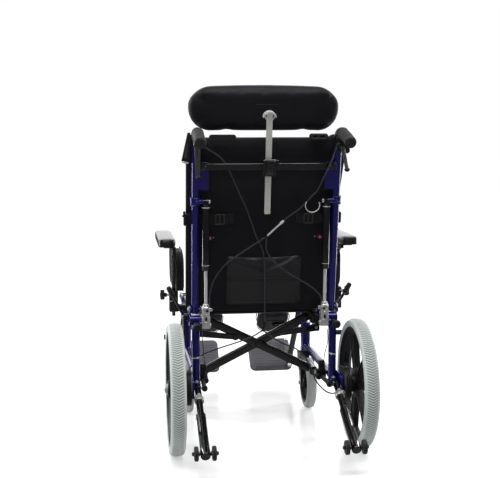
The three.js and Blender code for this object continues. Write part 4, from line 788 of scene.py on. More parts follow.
# The loop of spare wire under the right branch, its middle and radius
SPARE_LOOP, SPARE_LOOP_RADIUS = (139, 334), 22
RELEASE_MAIN = (
    (203, -51, 530), (186, -44, 470), (170, -40, 430), (153, -24, 380), (139, -22, 364),
    (102, -22, 324), (68, -22, 299), RELEASE_FERRULE[0],
)
RELEASE_LEFT = (
    RELEASE_TIE, (-49, -22, 203), (-110, -22, 162), (-146, -26, 124), (-166, -34, 88), (-174, -41, 50),
    (-172, -44, 17),
)
RELEASE_RIGHT = (
    RELEASE_TIE, (3, -22, 190), (33, -22, 149), (84, -22, 111), (138, -28, 78), (165, -36, 56),
    (175, -42, 38), (172, -44, 17),
)
BRAKE_SPLITTER = ((2, 72, 388), (-3, 78, 358))
BRAKE_ON_BACK = (
    (-203, -50, 524), (-180, -42, 509), (-158, -34, 494), (-134, -27, 472), (-108, -23, 424),
    (-81, -20, 364), (-57, -17, 311), (-31, -15, 238), (-11, -14, 197), (-3, -14, 155), (0, -14, 95),
)
BRAKE_MAIN = (
    *(BACK_PLANE @ Vector(point) for point in BRAKE_ON_BACK),
    (1, 66, 464), (2, 70, 424), BRAKE_SPLITTER[0],
)
BRAKE_LEFT = (
    BRAKE_SPLITTER[1], (-50, 84, 332), (-150, 88, 300), (-196, 88, 282), (-222, 88, 256),
    (-236, 76, 240), (-236, 64, 230),
)
BRAKE_RIGHT = (
    BRAKE_SPLITTER[1], (55, 90, 316), (108, 98, 291), (140, 100, 256), (158, 100, 220), (172, 96, 184),
    (204, 84, 152), (234, 82, 150), (240, 77, 180), (238, 66, 207),
)
# Thin wires beside the uprights, with the share of a cable's thickness that they have
WIRE_SHARE = 0.6
SPRING_WIRES = {
    "left": ((-199, 38, 374), (-191, 45, 280), (-185, 45, 244), (-198, 48, 201)),
    "right": ((195, 38, 364), (197, 45, 322), (186, 45, 272), (192, 48, 228)),
}


def cable(name, route, steps, diameter, where, body, nodes=()):
    """A sheathed cable along a route."""
    line = flowing(route, steps)
    path = [where @ point for point in line]
    length = sum((b - a).length for a, b in zip(path, path[1:]))
    piece = Shape().tube(line, diameter / MM / 2, 12).piece(name, "sheath", where, body, nodes, bevel=0)
    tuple(path[0])
    [tuple(p) for p in path]
    return piece


class WHEELCHAIR_OT_cables(bpy.types.Operator):
    """Adds the release cable of the springs, the brake cable and the thin wires of the uprights"""
    bl_idname = "wheelchair.cables"
    bl_label = "Cables"

    def execute(self, context):
        diameter = context.scene.wheelchair_sizes.cable
        main = cable("release_cable_main", RELEASE_MAIN, 5, diameter, BACK, "back_left",
                     ("release_cable",))
        fold_with(main)
        release = [
            cable("release_cable_left", RELEASE_LEFT, 6, diameter, BACK, "back_left"),
            cable("release_cable_right", RELEASE_RIGHT, 5, diameter, BACK, "back_left"),
        ]
        ferrule = Shape().rod(*RELEASE_FERRULE, 4, sides=20).ball(RELEASE_FERRULE[0], 4)
        release.append(ferrule.piece("release_cable_ferrule", "white", BACK, "back_left"))
        turns = arc(SPARE_LOOP, SPARE_LOOP_RADIUS, 150, 385, 28)
        spare = Shape().tube([(x, -26 - 0.012 * (z - 330), z) for x, z in turns], 1.5, 12)
        release.append(spare.piece("release_cable_loop", "chrome", BACK, "back_left", bevel=0))
        pipe = Shape().rod(RELEASE_FERRULE[1], RELEASE_TIE, 2.8, sides=16)
        release.append(pipe.piece("release_cable_pipe", "chrome", BACK, "back_left"))
        tie = Shape().ball(RELEASE_TIE, 4.5)
        release.append(tie.piece("release_cable_tie", "moulding", BACK, "back_left"))
        for piece in release:
            fold_with(piece)
        main = cable("brake_cable_main", BRAKE_MAIN, 3, diameter, CHAIR, None, ("brake_cable",))
        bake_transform(main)
        splitter = Shape().rod(*BRAKE_SPLITTER, 5, 4, sides=20)
        splitter.ball(BRAKE_SPLITTER[0], 5).ball(BRAKE_SPLITTER[1], 4)
        splitter.piece("brake_cable_splitter", "moulding", CHAIR, "left_side")
        for side, wire in SPRING_WIRES.items():
            cable("spring_wire_" + side, wire, 6, diameter * WIRE_SHARE, CHAIR, side + "_side")
        cable("brake_cable_left", BRAKE_LEFT, 5, diameter, CHAIR, "left_side")
        right = cable("brake_cable_right", BRAKE_RIGHT, 4, diameter, CHAIR, None)
        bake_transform(right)
        return {"FINISHED"}


# Side frames

TUBE_RADIUS = 12.5
RAIL, LOWER_RAIL, UPRIGHT_Y, FRONT_Y = 398, 213, 60, 545
# Pins on a side frame, each as its place along the chair and its height
SPRING_FOOT, LEGREST_HINGE, LOCK_PIVOT = (45, 385), (575, 395), (195, 385)
# The brace link's pin, as its place outboard and its height
LINK_PIN = (-15, 330)
# Where the casters' stems stand
STEM_Y = 517


def side_frame(side, sign, sizes):
    """One side frame with its brackets, black fittings, bolts and the cable ties of its upright."""
    body, where = side + "_side", half(sign)
    loop = bent(((0, UPRIGHT_Y, 186), (0, UPRIGHT_Y, RAIL), (0, FRONT_Y, RAIL), (0, FRONT_Y, LOWER_RAIL),
                 (0, UPRIGHT_Y, LOWER_RAIL)), (45, 60, 40), 10)
    blue = Shape().tube(loop, TUBE_RADIUS, 32)
    blue.plate(strap_outline(SPRING_FOOT, (72.5, SPRING_FOOT[1]), 14), "X", (-16.5, -11))
    blue.plate(rounded((-24, 72.5), (171, 229), 12), "X", (11.5, 18.5))
    for low, high in ((13.1, 17.1), (-17.1, -13.1)):
        blue.plate(strap_outline((BACK_HINGE[0], 385.5), BACK_HINGE, 13), "X", (low, high))
    for low, high in ((11.6, 16.5), (-16.5, -11.6)):
        blue.plate(strap_outline((485, RAIL), LEGREST_HINGE, 11.5, 13), "X", (low, high))
    blue.plate(strap_outline((76, 396), (94, 396), 15), "X", (-17, 17))
    blue.box((0, 16.5), (183, 207), (373, 397))
    blue.sleeve(10.8, TUBE_RADIUS, 18, UPRIGHT_Y, "Y", (0, 0, 198))
    blue.lathe(((7.8, 197), (16, 197), (18.2, 199), (18.2, 206), (17, 208), (17, 288), (18.2, 290),
                (18.2, 297), (16, 299), (0, 299), (0, 292), (7.8, 292)), "Z", (0, STEM_Y, 0))
    blue.box((-4, 4), (528, 540), (222, 284))
    lug_back = 250.5 if sign > 0 else 196
    lug_front = lug_back + 6
    pin_x, pin_z = LINK_PIN
    blue.plate(rounded((pin_x - 13, pin_x + 13), (pin_z - 13, pin_z + 13), 5), "Y", (lug_back, lug_front))
    blue.box((-17, -2), (lug_back, lug_front), (pin_z, 391))
    welds = (((0, 74, LOWER_RAIL), "Y"), ((0, 500, LOWER_RAIL), "Y"), ((0, UPRIGHT_Y, 199), "Z"))
    for place, axis in welds:
        blue.ring(place, axis, TUBE_RADIUS + 0.4, 1.5)
    blue.piece("frame_" + side, "frame", where, body, ("side_frame_" + side,), bevel=1.0)

    black = Shape()
    for y0, y1 in ((160, 182), (480, 502)):
        saddle = arc((-34, 378), 11.6, -180, 0, 14)
        outline = [(-8, 374.5), (-8, 364), (-11, 361), (-47, 361), (-50, 364), (-50, 374.5), *saddle]
        black.plate(outline, "Y", (y0, y1))
        black.box((-17, -9), (y0, y1), (362, 392))
    black.plate(rounded((43, 71), (243, 291), 4), "Z", (395, 465),
                holes=(rounded((51.5, 62.5), (251.5, 282.5), 1),))
    black.box((10, 46), (252, 282), (395, 415))
    black.box((-38.5, -6), (120, 136), (192, 218)).box((-38.5, -6), (404, 420), (192, 218))
    black.rod((-34, 100, 197), (-34, 424, 197), 9, sides=28)
    black.rod((-24, 112, 198), (-21, 2, 199), 7).rod((-21, 2, 199), (-21, -7, 199), 10, 9)
    black.plate(rounded((-34, -16), (216, 252), 4), "Y", (96, 114))
    black.rod((-25, 92, 243), (-25, 98, 243), 4.5, sides=16).rod((-25, 92, 226), (-25, 98, 226), 4.5)
    black.rod((0, 50, 387), (0, 6, 387), 8).lathe(
        ((0, -12), (10, -12), (12.5, -9), (12.5, 4), (11, 7), (0, 7)), "Y", (0, 2, 387), 28)
    black.lathe(((0, 183.5), (12.6, 183.5), (13.2, 185), (13.2, 187.5), (0, 187.5)), "Z",
                (0, UPRIGHT_Y, 0), 32)
    black.piece("frame_fittings_" + side, "moulding", where, body, bevel=1.0)

    metal = Shape()
    metal.rod((-21.5, *BACK_HINGE), (21.5, *BACK_HINGE), 5)
    metal.nut((17.1, *BACK_HINGE), (22, *BACK_HINGE), 15, 1.2)
    metal.nut((-17.1, *BACK_HINGE), (-21.5, *BACK_HINGE), 15, 1.2)
    metal.rod((-44, *SPRING_FOOT), (-12, *SPRING_FOOT), 4)
    metal.lathe(((0, -46), (5, -46), (6.5, -44.5), (6.5, -42.8), (0, -42.8)), "X", (0, *SPRING_FOOT), 24)
    metal.rod((12, 0, WHEEL_RADIUS), (97, 0, WHEEL_RADIUS), 8)
    metal.nut((92.5, 0, WHEEL_RADIUS), (99, 0, WHEEL_RADIUS), 24, 1.6)
    metal.rod((17.5, *LEGREST_HINGE), (-17.5, *LEGREST_HINGE), 5)
    for way in (1, -1):
        metal.nut((16.5 * way, *LEGREST_HINGE), (20 * way, *LEGREST_HINGE), 13)
    metal.rod((pin_x, lug_back - 8, pin_z), (pin_x, lug_back + 14, pin_z), 5)
    metal.nut((pin_x, lug_front, pin_z), (pin_x, lug_back + 11, pin_z), 13, 1)
    metal.rod((0, *LOCK_PIVOT), (33, *LOCK_PIVOT), 5)
    for y, z in ((128, 205), (412, 205)):
        metal.nut((-38.5, y, z), (-42, y, z), 11, 1)
    for y, z in ((-8, 186), (-8, 214), (40, 200)):
        metal.nut((18.5, y, z), (22, y, z), 10, 1)
    metal.nut((0, 39, 210), (0, 39, 214), 9, 1).nut((0, 39, 186), (0, 39, 182.5), 9, 1)
    metal.piece("frame_hardware_" + side, "zinc", where, body, bevel=0.4)

    ties = Shape()
    width = sizes.tie_width / MM
    ties.sleeve(12.6, 13.5, -width / 2, width / 2, sides=28,
                matrix=shift(0, UPRIGHT_Y, 283) @ tilt(9, "Y"))
    ties.box((-8, -3), (UPRIGHT_Y - 16, UPRIGHT_Y - 11), (281, 286))
    ties.rod((-6, UPRIGHT_Y - 15, 284), (-15, UPRIGHT_Y - 22, 292), 0.9, 0.6, 8)
    ties.piece("frame_ties_" + side, "white", where, body, bevel=0.3)


class WHEELCHAIR_OT_side_frames(bpy.types.Operator):
    """Adds both side frames with their brackets, fittings, bolts and cable ties"""
    bl_idname = "wheelchair.side_frames"
    bl_label = "Side frames"

    def execute(self, context):
        for side, sign in SIDES:
            side_frame(side, sign, context.scene.wheelchair_sizes)
        return {"FINISHED"}


# Rear wheels

WHEEL_AT = shift(68, 0, WHEEL_RADIUS)
# Openings between the spokes of a rear wheel and of a caster, and the angle from one to the next
WINDOWS = 5
WINDOW_STEP = 360 / WINDOWS
# Half of the tyre's section, as pairs of radius and distance from its middle
TYRE_PROFILE = (
    (173.6, 18.4), (176, 20.5), (180, 22.2), (184, 23), (188, 22.9), (191, 22.0), (193.6, 20.4),
    (195.6, 18.2), (197, 15.8), (198.2, 12.6), (199, 9), (199.6, 5), (199.9, 2.5), (WHEEL_RADIUS, 0),
)


def groove_count(pitch):
    return round(FULL_TURN * WHEEL_RADIUS * MM / pitch)


def groove(u, v, across, pitch):
    """How far a place on the tyre lies in a groove, from 0 to 1. u and v are in the wheel's plane."""
    if math.hypot(u, v) <= 180:
        return 0
    phase = math.atan2(v, u) * groove_count(pitch) / FULL_TURN + abs(across) * 0.06
    strength = 1 - ramp(14.5, 17.5, abs(across))
    return strength * ramp(0.2, 0.9, 0.5 + 0.5 * math.cos(FULL_TURN * phase))


def tread(pitch, depth):
    """Presses chevrons into the crown and shoulders of a tyre."""
    def carve(co):
        share = 1 - depth / MM * groove(co.x, co.y, co.z, pitch) / math.hypot(co.x, co.y)
        return Vector((co.x * share, co.y * share, co.z))
    return carve


def mark_groove_shade(piece, where, pitch):
    """Notes on the tyre's mesh where its grooves are, for the painted shade in them."""
    back = where.inverted()
    groove_shade = piece.data.attributes.new(GROOVE_SHADE, "FLOAT", "POINT")
    for vert, value in zip(piece.data.vertices, groove_shade.data):
        place = back @ vert.co
        value.value = groove(place.y, place.z, place.x, pitch)


def window(grow):
    """Outline of one opening between two spokes of a rear wheel, grown all round by `grow`."""
    outer, inner = 152.3 + grow, 44 - grow
    wide, narrow = math.degrees(grow / outer), math.degrees(grow / inner)
    points = arc((0, 0), outer, 9.82 - wide, 62.18 + wide, 12)
    points += arc((0, 0), inner, 49.5 + narrow, 22.5 - narrow, 6)
    return round_corners(points, 9)


def rear_wheel(side, sign, sizes):
    """One rear wheel with its grooved tyre, bearing rings and hub brake."""
    body, where = "rear_wheel_" + side, half(sign) @ WHEEL_AT
    pitch = sizes.tread_pitch
    profile = [(r, -x) for r, x in TYRE_PROFILE] + [(r, x) for r, x in TYRE_PROFILE[-2::-1]]
    carved = tread(pitch, sizes.tread_depth)
    tyre = Shape().lathe(profile, "X", sides=4 * groove_count(pitch), carve=carved)
    tyre = tyre.piece("rear_tyre_body_" + side, "tyre", where, body, ("rear_tyre_" + side,), bevel=0,
                      angle=60)
    # Marks the grooves, which the tyre's finish darkens with painted shade
    mark_groove_shade(tyre, where, pitch)

    wheel = Shape()
    wheel.lathe(((173.7, -18.8), (174.6, -19.6), (173.2, -20.4), (170.5, -19.6), (168, -16), (160, -9.5),
                 (157, -8), (157, 8), (160, 9.5), (168, 16), (170.5, 19.6), (173.2, 20.4), (174.6, 19.6),
                 (173.7, 18.8)), "X", sides=96)
    angles = [WINDOW_STEP * i for i in range(WINDOWS)]
    holes = [turned(window(0), angle) for angle in angles]
    wheel.plate(circle((0, 0), 160, 80), "X", (-6, 6), holes=(*holes, circle((0, 0), 8.6, 24)))
    for angle in angles:
        wheel.plate(turned(window(6), angle), "X", (-9, 9), holes=(turned(window(1), angle),))
        wheel.box((-8.2, 8.2), (46, 152), (-2.4, 2.4), tilt(angle))
    wheel.lathe(((8.6, -24), (24, -24), (27, -21.5), (27, -12), (34, -10), (44, -9), (44, 9), (34, 10),
                 (27, 12), (27, 21.5), (24, 24), (8.6, 24)), "X", sides=48)
    wheel.piece("rear_wheel_moulding_" + side, "moulding", where, body, ("rear_wheel_" + side,),
                bevel=1.2)
    bearing = Shape()
    for low, high in ((-24.8, -23), (23, 24.8)):
        bearing.sleeve(8.6, 17, low, high, "X", sides=32)
    bearing.piece("rear_wheel_bearing_" + side, "zinc", where, body, bevel=0.3)

    hub = half(sign) @ shift(0, 0, WHEEL_RADIUS)
    drum = Shape().lathe(((8.6, 19.2), (46, 19.2), (49, 20), (52, 22.4), (52, 25), (50.5, 26), (50.5, 28),
                          (52, 29), (52, 31), (50.5, 32), (50.5, 34), (52, 35), (52, 37.5), (49, 40.5),
                          (34, 40.8), (32, 39), (8.6, 39)), "X", sides=64)
    drum.plate(strap_outline((0, 0), (62, 20.7), 16, 8), "X", (18.8, 24))
    drum.plate(strap_outline((30, 34), (48, 40), 9, 6), "X", (20, 28))
    drum.piece("hub_brake_drum_" + side, "moulding", hub, side + "_side", ("hub_brake_" + side,),
               bevel=0.8)
    screws = Shape()
    screws.rod((16, 62, 20.7), (28, 62, 20.7), 3, sides=16).nut((24, 62, 20.7), (28, 62, 20.7), 11, 1)
    screws.nut((28, 40, 37), (31, 40, 37), 9, 1)
    screws.rod((22, 64, 30), (22, 50, 12), 1.1, sides=10)
    screws.rod((22, 61, 22), (22, 56, 16), 3.4, sides=16)
    screws.piece("hub_brake_hardware_" + side, "zinc", hub, side + "_side", bevel=0.3)


class WHEELCHAIR_OT_rear_wheels(bpy.types.Operator):
    """Adds the rear wheels with their tyres and hub brakes"""
    bl_idname = "wheelchair.rear_wheels"
    bl_label = "Rear wheels"

    def execute(self, context):
        for side, sign in SIDES:
            rear_wheel(side, sign, context.scene.wheelchair_sizes)
        return {"FINISHED"}


# Casters

# A caster's axle, behind its stem and above the floor
CASTER_AXLE = (-52, 90)


def caster(side, sign):
    """One caster: its fork with stem and axle, its tread and its open core."""
    where = half(sign) @ shift(0, STEM_Y, 0)
    fork = Shape()
    fork.box((-28, 28), (-15, 15), (186, 194))
    for low, high in ((23, 28), (-28, -23)):
        fork.plate(strap_outline(CASTER_AXLE, (0, 181), 13), "X", (low, high))
    fork.piece("caster_fork_legs_" + side, "tube", where, "caster_fork_" + side, ("caster_fork_" + side,),
               bevel=1.4)
    metal = Shape().rod((0, 0, 186), (0, 0, 256), 7).rod((-33, *CASTER_AXLE), (33, *CASTER_AXLE), 5)
    for way in (1, -1):
        metal.nut((28 * way, *CASTER_AXLE), (33.5 * way, *CASTER_AXLE), 15, 1)
    metal.sleeve(7.2, 15, 194, 196.6, sides=32)
    metal.piece("caster_fork_hardware_" + side, "zinc", where, "caster_fork_" + side, bevel=0.3)
    wheel_at = where @ shift(0, *CASTER_AXLE)
    crown = [(71, -16.6), (74, -17), (82, -16), (87.5, -12.5), (89.5, -7), (90, 0)]
    profile = crown + [(r, -x) for r, x in crown[-2::-1]]
    Shape().lathe(profile, "X", sides=96).piece(
        "caster_tread_" + side, "caster_tread", wheel_at, "caster_wheel_" + side,
        ("caster_wheel_" + side,), bevel=0, angle=50)
    core = Shape()
    core.lathe(((71.5, -15.5), (71.5, 15.5), (68, 16), (66, 13), (64, 6), (64, -6), (66, -13), (68, -16)),
               "X", sides=64)
    opening = round_corners(arc((0, 0), 62, 14, 58, 6) + arc((0, 0), 26, 50, 22, 3), 4)
    holes = [turned(opening, WINDOW_STEP * i) for i in range(WINDOWS)]
    core.plate(circle((0, 0), 65, 48), "X", (-4.5, 4.5), holes=(*holes, circle((0, 0), 5.6, 20)))
    core.lathe(((5.6, -20), (15, -20), (19, -17), (20, -5), (20, 5), (19, 17), (15, 20), (5.6, 20)),
               "X", sides=40)
    core.piece("caster_core_" + side, "moulding", wheel_at, "caster_wheel_" + side, bevel=0.8)


class WHEELCHAIR_OT_casters(bpy.types.Operator):
    """Adds the casters with their forks"""
    bl_idname = "wheelchair.casters"
    bl_label = "Casters"

    def execute(self, context):
        for side, sign in SIDES:
            caster(side, sign)
        return {"FINISHED"}


# Anti-tippers

# The leg leaves its socket level and drops from the elbow on
LEG_DROP = math.radians(24.4)
LEG_ELBOW = Vector((0, -6, 198))
LEG_ALONG = Vector((0, -math.cos(LEG_DROP), -math.sin(LEG_DROP)))


def along_leg(distance, out=0.0, lift=0.0):
    """A place on the anti-tip leg, with `out` outboard and `lift` square to the leg."""
    square = Vector((0, -math.sin(LEG_DROP), math.cos(LEG_DROP)))
    return LEG_ELBOW + LEG_ALONG * distance + Vector((out, 0, 0)) + square * lift


def anti_tipper(side, sign):
    """One anti-tip leg with its clamp, sliding sleeve, push button and pair of rollers."""
    where = half(sign)
    frame_body = side + "_side"
    path = bent(((0, 52, 198), tuple(LEG_ELBOW), tuple(along_leg(175))), 30, 8)
    leg = Shape().tube(path, 10, 28)
    leg.piece("anti_tip_leg_" + side, "tube", where, frame_body, ("anti_tip_tube_" + side,), bevel=0.5)
    clamp = Shape().lathe(((10.1, -8), (14, -8), (14.6, -6), (14.6, 6), (14, 8), (10.1, 8)), sides=32,
                          matrix=direction_matrix(along_leg(52), along_leg(60)))
    clamp.nut(along_leg(52, 8, 12), along_leg(52, 8, 17), 10, 1)
    clamp.nut(along_leg(38, 0, 9), along_leg(38, 0, 13), 9, 1)
    clamp.piece("anti_tip_clamp_" + side, "zinc", where, frame_body, bevel=0.4)
    sleeve = Shape()
    matrix = direction_matrix(along_leg(120), along_leg(299))
    sleeve.lathe(((10.6, 0), (13, 0), (14, 1.2), (14, 177), (12.5, 179), (0, 179), (0, 168), (10.6, 168)),
                 matrix=matrix, sides=36)
    for at in (3, 16, 150):
        sleeve.ring((0, 0, at), "Z", 13.7, 0.9, matrix=matrix)
    sleeve.piece("anti_tip_sleeve_tube_" + side, "tube", where, "anti_tip_sleeve_" + side,
                 ("anti_tip_sleeve_" + side,), bevel=0.4)
    button = Shape().rod(along_leg(134, 11.5), along_leg(134, 16.5), 4, 3.4, 20)
    button.piece("anti_tip_button_" + side, "zinc", where, "anti_tip_sleeve_" + side, bevel=0.6)
    rollers = Shape()
    axle = along_leg(285)
    profile = ((4.2, 19.3), (18, 19.3), (20.4, 20.4), (21, 22.5), (21, 28), (20.4, 30.2), (18, 31.3),
               (15, 30.2), (10, 30.2), (8.5, 31.3), (4.2, 31.3))
    for way in (1, -1):
        rollers.lathe([(r, way * x) for r, x in profile], "X", axle, 40)
    rollers.piece("anti_tip_roller_pair_" + side, "rubber", where, "anti_tip_rollers_" + side,
                  ("anti_tip_rollers_" + side,), bevel=0)
    pin = Shape().rod(axle + Vector((-38, 0, 0)), axle + Vector((38, 0, 0)), 4, sides=20)
    for way in (1, -1):
        pin.nut(axle + Vector((way * 31.3, 0, 0)), axle + Vector((way * 36.5, 0, 0)), 12, 1)
        pin.rod(axle + Vector((way * 14.3, 0, 0)), axle + Vector((way * 19.2, 0, 0)), 6.5)
    pin.piece("anti_tip_roller_axle_" + side, "tube", where, "anti_tip_rollers_" + side, bevel=0.3)


class WHEELCHAIR_OT_anti_tippers(bpy.types.Operator):
    """Adds the anti-tip legs with their sleeves and rollers"""
    bl_idname = "wheelchair.anti_tippers"
    bl_label = "Anti-tippers"

    def execute(self, context):
        for side, sign in SIDES:
            anti_tipper(side, sign)
        return {"FINISHED"}


# Armrests

# The armrest's post along the chair, and half of its pad's width and length
POST_Y = 267
PAD_X, PAD_Y = 27.5, 170


def arm_pad_form(u, v, w):
    """A long pad with round corners, a soft crown and sides drawn in towards its base."""
    x, y = square_to_round(u * PAD_X, v * PAD_Y, PAD_X, PAD_Y, 20)
    crown = (1 - abs(u) ** 4) * (1 - abs(v) ** 12)
    side = 1 - 0.05 * ramp(0.2, 1, w) - 0.03 * ramp(0, -1, w)
    return x * side, y * (1 - 0.012 * ramp(0, 1, w)), w * (14 if w < 0 else 10 + 4 * crown)


def hip_outline(grow):
    """Outline of a side cushion, level along its foot and round at its top corners."""
    radius = 60 + grow
    foot = [(205 - grow, 468), (425 + grow, 468)]
    return foot + arc((365, 536), radius, 0, 90, 10) + arc((265, 536), radius, 90, 180, 10)


def star_outline():
    """A knob's outline with five soft points."""
    angles = [FULL_TURN * i / 60 for i in range(60)]
    radii = [11 + 6 * (1 + math.cos(5 * angle)) / 2 for angle in angles]
    return [(r * math.cos(angle), r * math.sin(angle)) for r, angle in zip(radii, angles)]


def armrest(side, sign, sizes):
    """One armrest with its guard, pad, side cushion and star knob."""
    body, where = "armrest_" + side, half(sign)
    bars = Shape()
    bars.plate(rounded((52, 62), (POST_Y - 15, POST_Y + 15), 2), "Z", (380, 612.7))
    bars.box((52, 62), (180, 488), (601.7, 613.5)).box((52, 90), (180, 488), (610.7, 613.7))
    bars.plate(strap_outline((206, 604), (252, 590), 5, 9), "X", (53, 61))
    bars.plate(strap_outline((460, 604), (282, 590), 5, 9), "X", (53, 61))
    for z in (480, 500, 520, 540):
        bars.rod((62, POST_Y, z), (62.4, POST_Y, z), 3.4, sides=16)
    bars.piece("armrest_bars_" + side, "tube", where, body, ("armrest_" + side,), bevel=1.0)
    holes = [circle((y, z), 5.5, 16) for y in range(240, 461, 22) for z in range(496, 585, 22)
             if not 246 < y < 290]
    guard = Shape().plate(rounded((218, 480), (474, 604), 40, 10), "X", (55.5, 58.5), holes=holes)
    guard.plate(rounded((214, 484), (470, 606), 42, 10), "X", (54.5, 59.5),
                holes=(rounded((221, 477), (477, 600), 37, 10),))
    guard.piece("armrest_guard_" + side, "moulding", where, body, bevel=0.5)
    pad = Shape().soft((14, 40, 6), arm_pad_form, shift(80.5, 335, 628))
    skin = pad.piece("arm_pad_skin_" + side, "pad", where, body, ("arm_pad_" + side,), bevel=0, angle=80,
                     smooth=1)
    screws = Shape()
    for y in (220, 335, 450):
        screws.rod((72, y, 609.5), (72, y, 611), 5, sides=20)
    for z in (430, 455):
        screws.nut((62, 246, z), (72.5, 246, z), 7)
    screws.piece("armrest_screws_" + side, "zinc", where, body, bevel=0.3)
    cushion = Shape().plate(hip_outline(-2), "X", (27.5, 50.5))
    cover = cushion.piece("hip_cushion_cover_" + side, "cushion", where, body, ("hip_cushion_" + side,),
                          bevel=0, angle=180)
    inflate(cover, 5, min(sizes.swell, 3.5 * MM))
    piping = Shape()
    for x in (29, 49.5):
        loop = [(x, y, z) for y, z in hip_outline(-1.5)]
        piping.tube(loop + loop[:1], 1.7, 10)
    piping.piece("hip_cushion_piping_" + side, "webbing", where, body, bevel=0)
    knob_at = where @ shift(0, POST_Y, 448)
    knob = Shape().plate(star_outline(), "X", (86.5, 100))
    knob.rod((79, 0, 0), (87, 0, 0), 7).rod((99, 0, 0), (101.5, 0, 0), 8, 6)
    knob.piece("star_knob_grip_" + side, "moulding", knob_at, "star_knob_" + side, ("star_knob_" + side,),
               bevel=1.8)
    shaft = Shape().rod((71.3, 0, 0), (80, 0, 0), 4)
    shaft.piece("star_knob_shaft_" + side, "zinc", knob_at, "star_knob_" + side, bevel=0.3)


class WHEELCHAIR_OT_armrests(bpy.types.Operator):
    """Adds the armrests with their pads, side cushions and star knobs"""
    bl_idname = "wheelchair.armrests"
    bl_label = "Armrests"

    def execute(self, context):
        for side, sign in SIDES:
            armrest(side, sign, context.scene.wheelchair_sizes)
        return {"FINISHED"}


# Wheel locks

# The shoe's axis, from the lever's pivot
SHOE = (-5.5, -61.9)


def wheel_lock(side, sign):
    """One wheel lock lever with its ribbed shoe and handle."""
    body, where = "wheel_lock_" + side, half(sign) @ shift(0, *LOCK_PIVOT)
    elbow, tip = Vector((53, -18, 52)), Vector((79, -36, 104))
    ahead = (tip - elbow).normalized()
    lever = Shape().rod((17, 0, 0), (31, 0, 0), 12)
    lever.plate(strap_outline((0, 0), SHOE, 10, 8), "X", (22, 31))
    lever.tube(bent(((26.5, 0, 0), tuple(elbow), tuple(tip)), 14, 6), 4.5, 20)
    lever.piece("wheel_lock_lever_" + side, "tube", where, body, ("wheel_lock_" + side,), bevel=0.9)
    shoe = Shape().rod((24, *SHOE), (93, *SHOE), 8)
    for x in range(50, 92, 4):
        shoe.ring((x, *SHOE), "X", 7.8, 0.8)
    start = tip - ahead * 34
    points = [start, start + ahead * 3, start + ahead * 31, tip, tip + ahead * 0.9]
    shoe.tube(points, [6.5, 8, 8, 6.5, 4], 24)
    for step in range(5):
        place = start + ahead * (7 + 5 * step)
        shoe.ring((0, 0, 0), "Z", 7.9, 0.7, matrix=direction_matrix(place, place + ahead))
    shoe.piece("wheel_lock_rubber_" + side, "rubber", where, body, bevel=0.4)
    bolt = Shape().nut((31, 0, 0), (35, 0, 0), 15, 1.2)
    bolt.piece("wheel_lock_bolt_" + side, "zinc", where, body, bevel=0.3)


class WHEELCHAIR_OT_wheel_locks(bpy.types.Operator):
    """Adds the wheel lock levers with their shoes"""
    bl_idname = "wheelchair.wheel_locks"
    bl_label = "Wheel locks"

    def execute(self, context):
        for side, sign in SIDES:
            wheel_lock(side, sign)
        return {"FINISHED"}


# Legrests

LEG_REST = shift(0, *LEGREST_HINGE) @ tilt(43)
LEG_LENGTH = 440
# The middle of the calf pad, from the hinge
CALF_X, CALF_Z = -89, -195


def calf_outline(grow):
    """Outline of a calf pad, a half circle at its foot and round at its top corners."""
    half_width, corner = 61 + grow, 20
    reach = half_width - corner
    top = -133 + grow - corner
    foot = arc((CALF_X, -196), half_width, 180, 360, 24)
    return (foot + arc((CALF_X + reach, top), corner, 0, 90, 6)
            + arc((CALF_X - reach, top), corner, 90, 180, 6))


def legrest(side, sign, sizes):
    """One legrest with its calf pad and footplate."""
    body, where = "legrest_" + side, half(sign) @ LEG_REST
    hanger = Shape().rod((-11, 0, 0), (11, 0, 0), 11, sides=32)
    hanger.rod((0, 0, -LEG_LENGTH), (0, 0, 0), 11, sides=32).ball((0, 0, -LEG_LENGTH), 11)
    hanger.ring((0, 0, -238), "Z", 11, 1.4)
    hanger.tube(bent(((0, 0, CALF_Z), (CALF_X, 0, CALF_Z), (CALF_X, 9, CALF_Z)), 8), 7, 20)
    hanger.plate(rounded((CALF_X - 24, CALF_X + 24), (CALF_Z - 24, CALF_Z + 24), 5), "Y", (4.7, 9.7))
    hanger.piece("legrest_tube_" + side, "tube", where, body, ("legrest_hanger_" + side,), bevel=0.8)
    metal = Shape().rod((0, -22, -LEG_LENGTH), (0, 112, -LEG_LENGTH), 6)
    metal.nut((0, -12, -225), (0, -16, -225), 12, 1).nut((11, 0, -30), (14, 0, -30), 10, 1)
    metal.piece("legrest_rod_" + side, "zinc", where, body, bevel=0.4)
    pad = Shape().plate(calf_outline(-2), "Y", (11, 46.5))
    cover = pad.piece("calf_pad_cover_" + side, "pad", where, body, ("calf_pad_" + side,), bevel=0,
                      angle=180)
    inflate(cover, 5, min(sizes.swell, 5 * MM))
    piping = Shape()
    for y in (12.5, 45):
        loop = [(x, y, z) for x, z in calf_outline(-1)]
        piping.tube(loop + loop[:1], 1.6, 10)
    piping.piece("calf_pad_piping_" + side, "webbing", where, body, bevel=0)
    foot_at = where @ shift(0, 0, -LEG_LENGTH)
    plate = Shape().plate(rounded((-154, 14), (-25, 125), 22, 10), "Z", (-23, -14))
    plate.plate(rounded((-132, -22), (-14, 10), 2.5), "Y", (-25, -20))
    for y in range(4, 110, 12):
        plate.plate(rounded((-140, -16), (y, y + 4), 1.9), "Z", (-14.5, -12.8))
    for x in (-120, -80, -40):
        plate.box((x - 2, x + 2), (-16, 112), (-27, -22.5))
    plate.rod((0, 16, 0), (0, 100, 0), 10.5, sides=32).box((-10.5, 10.5), (16, 100), (-15, 0))
    plate.piece("footplate_board_" + side, "footplate", foot_at, "footplate_" + side,
                ("footplate_" + side,), bevel=1.2)


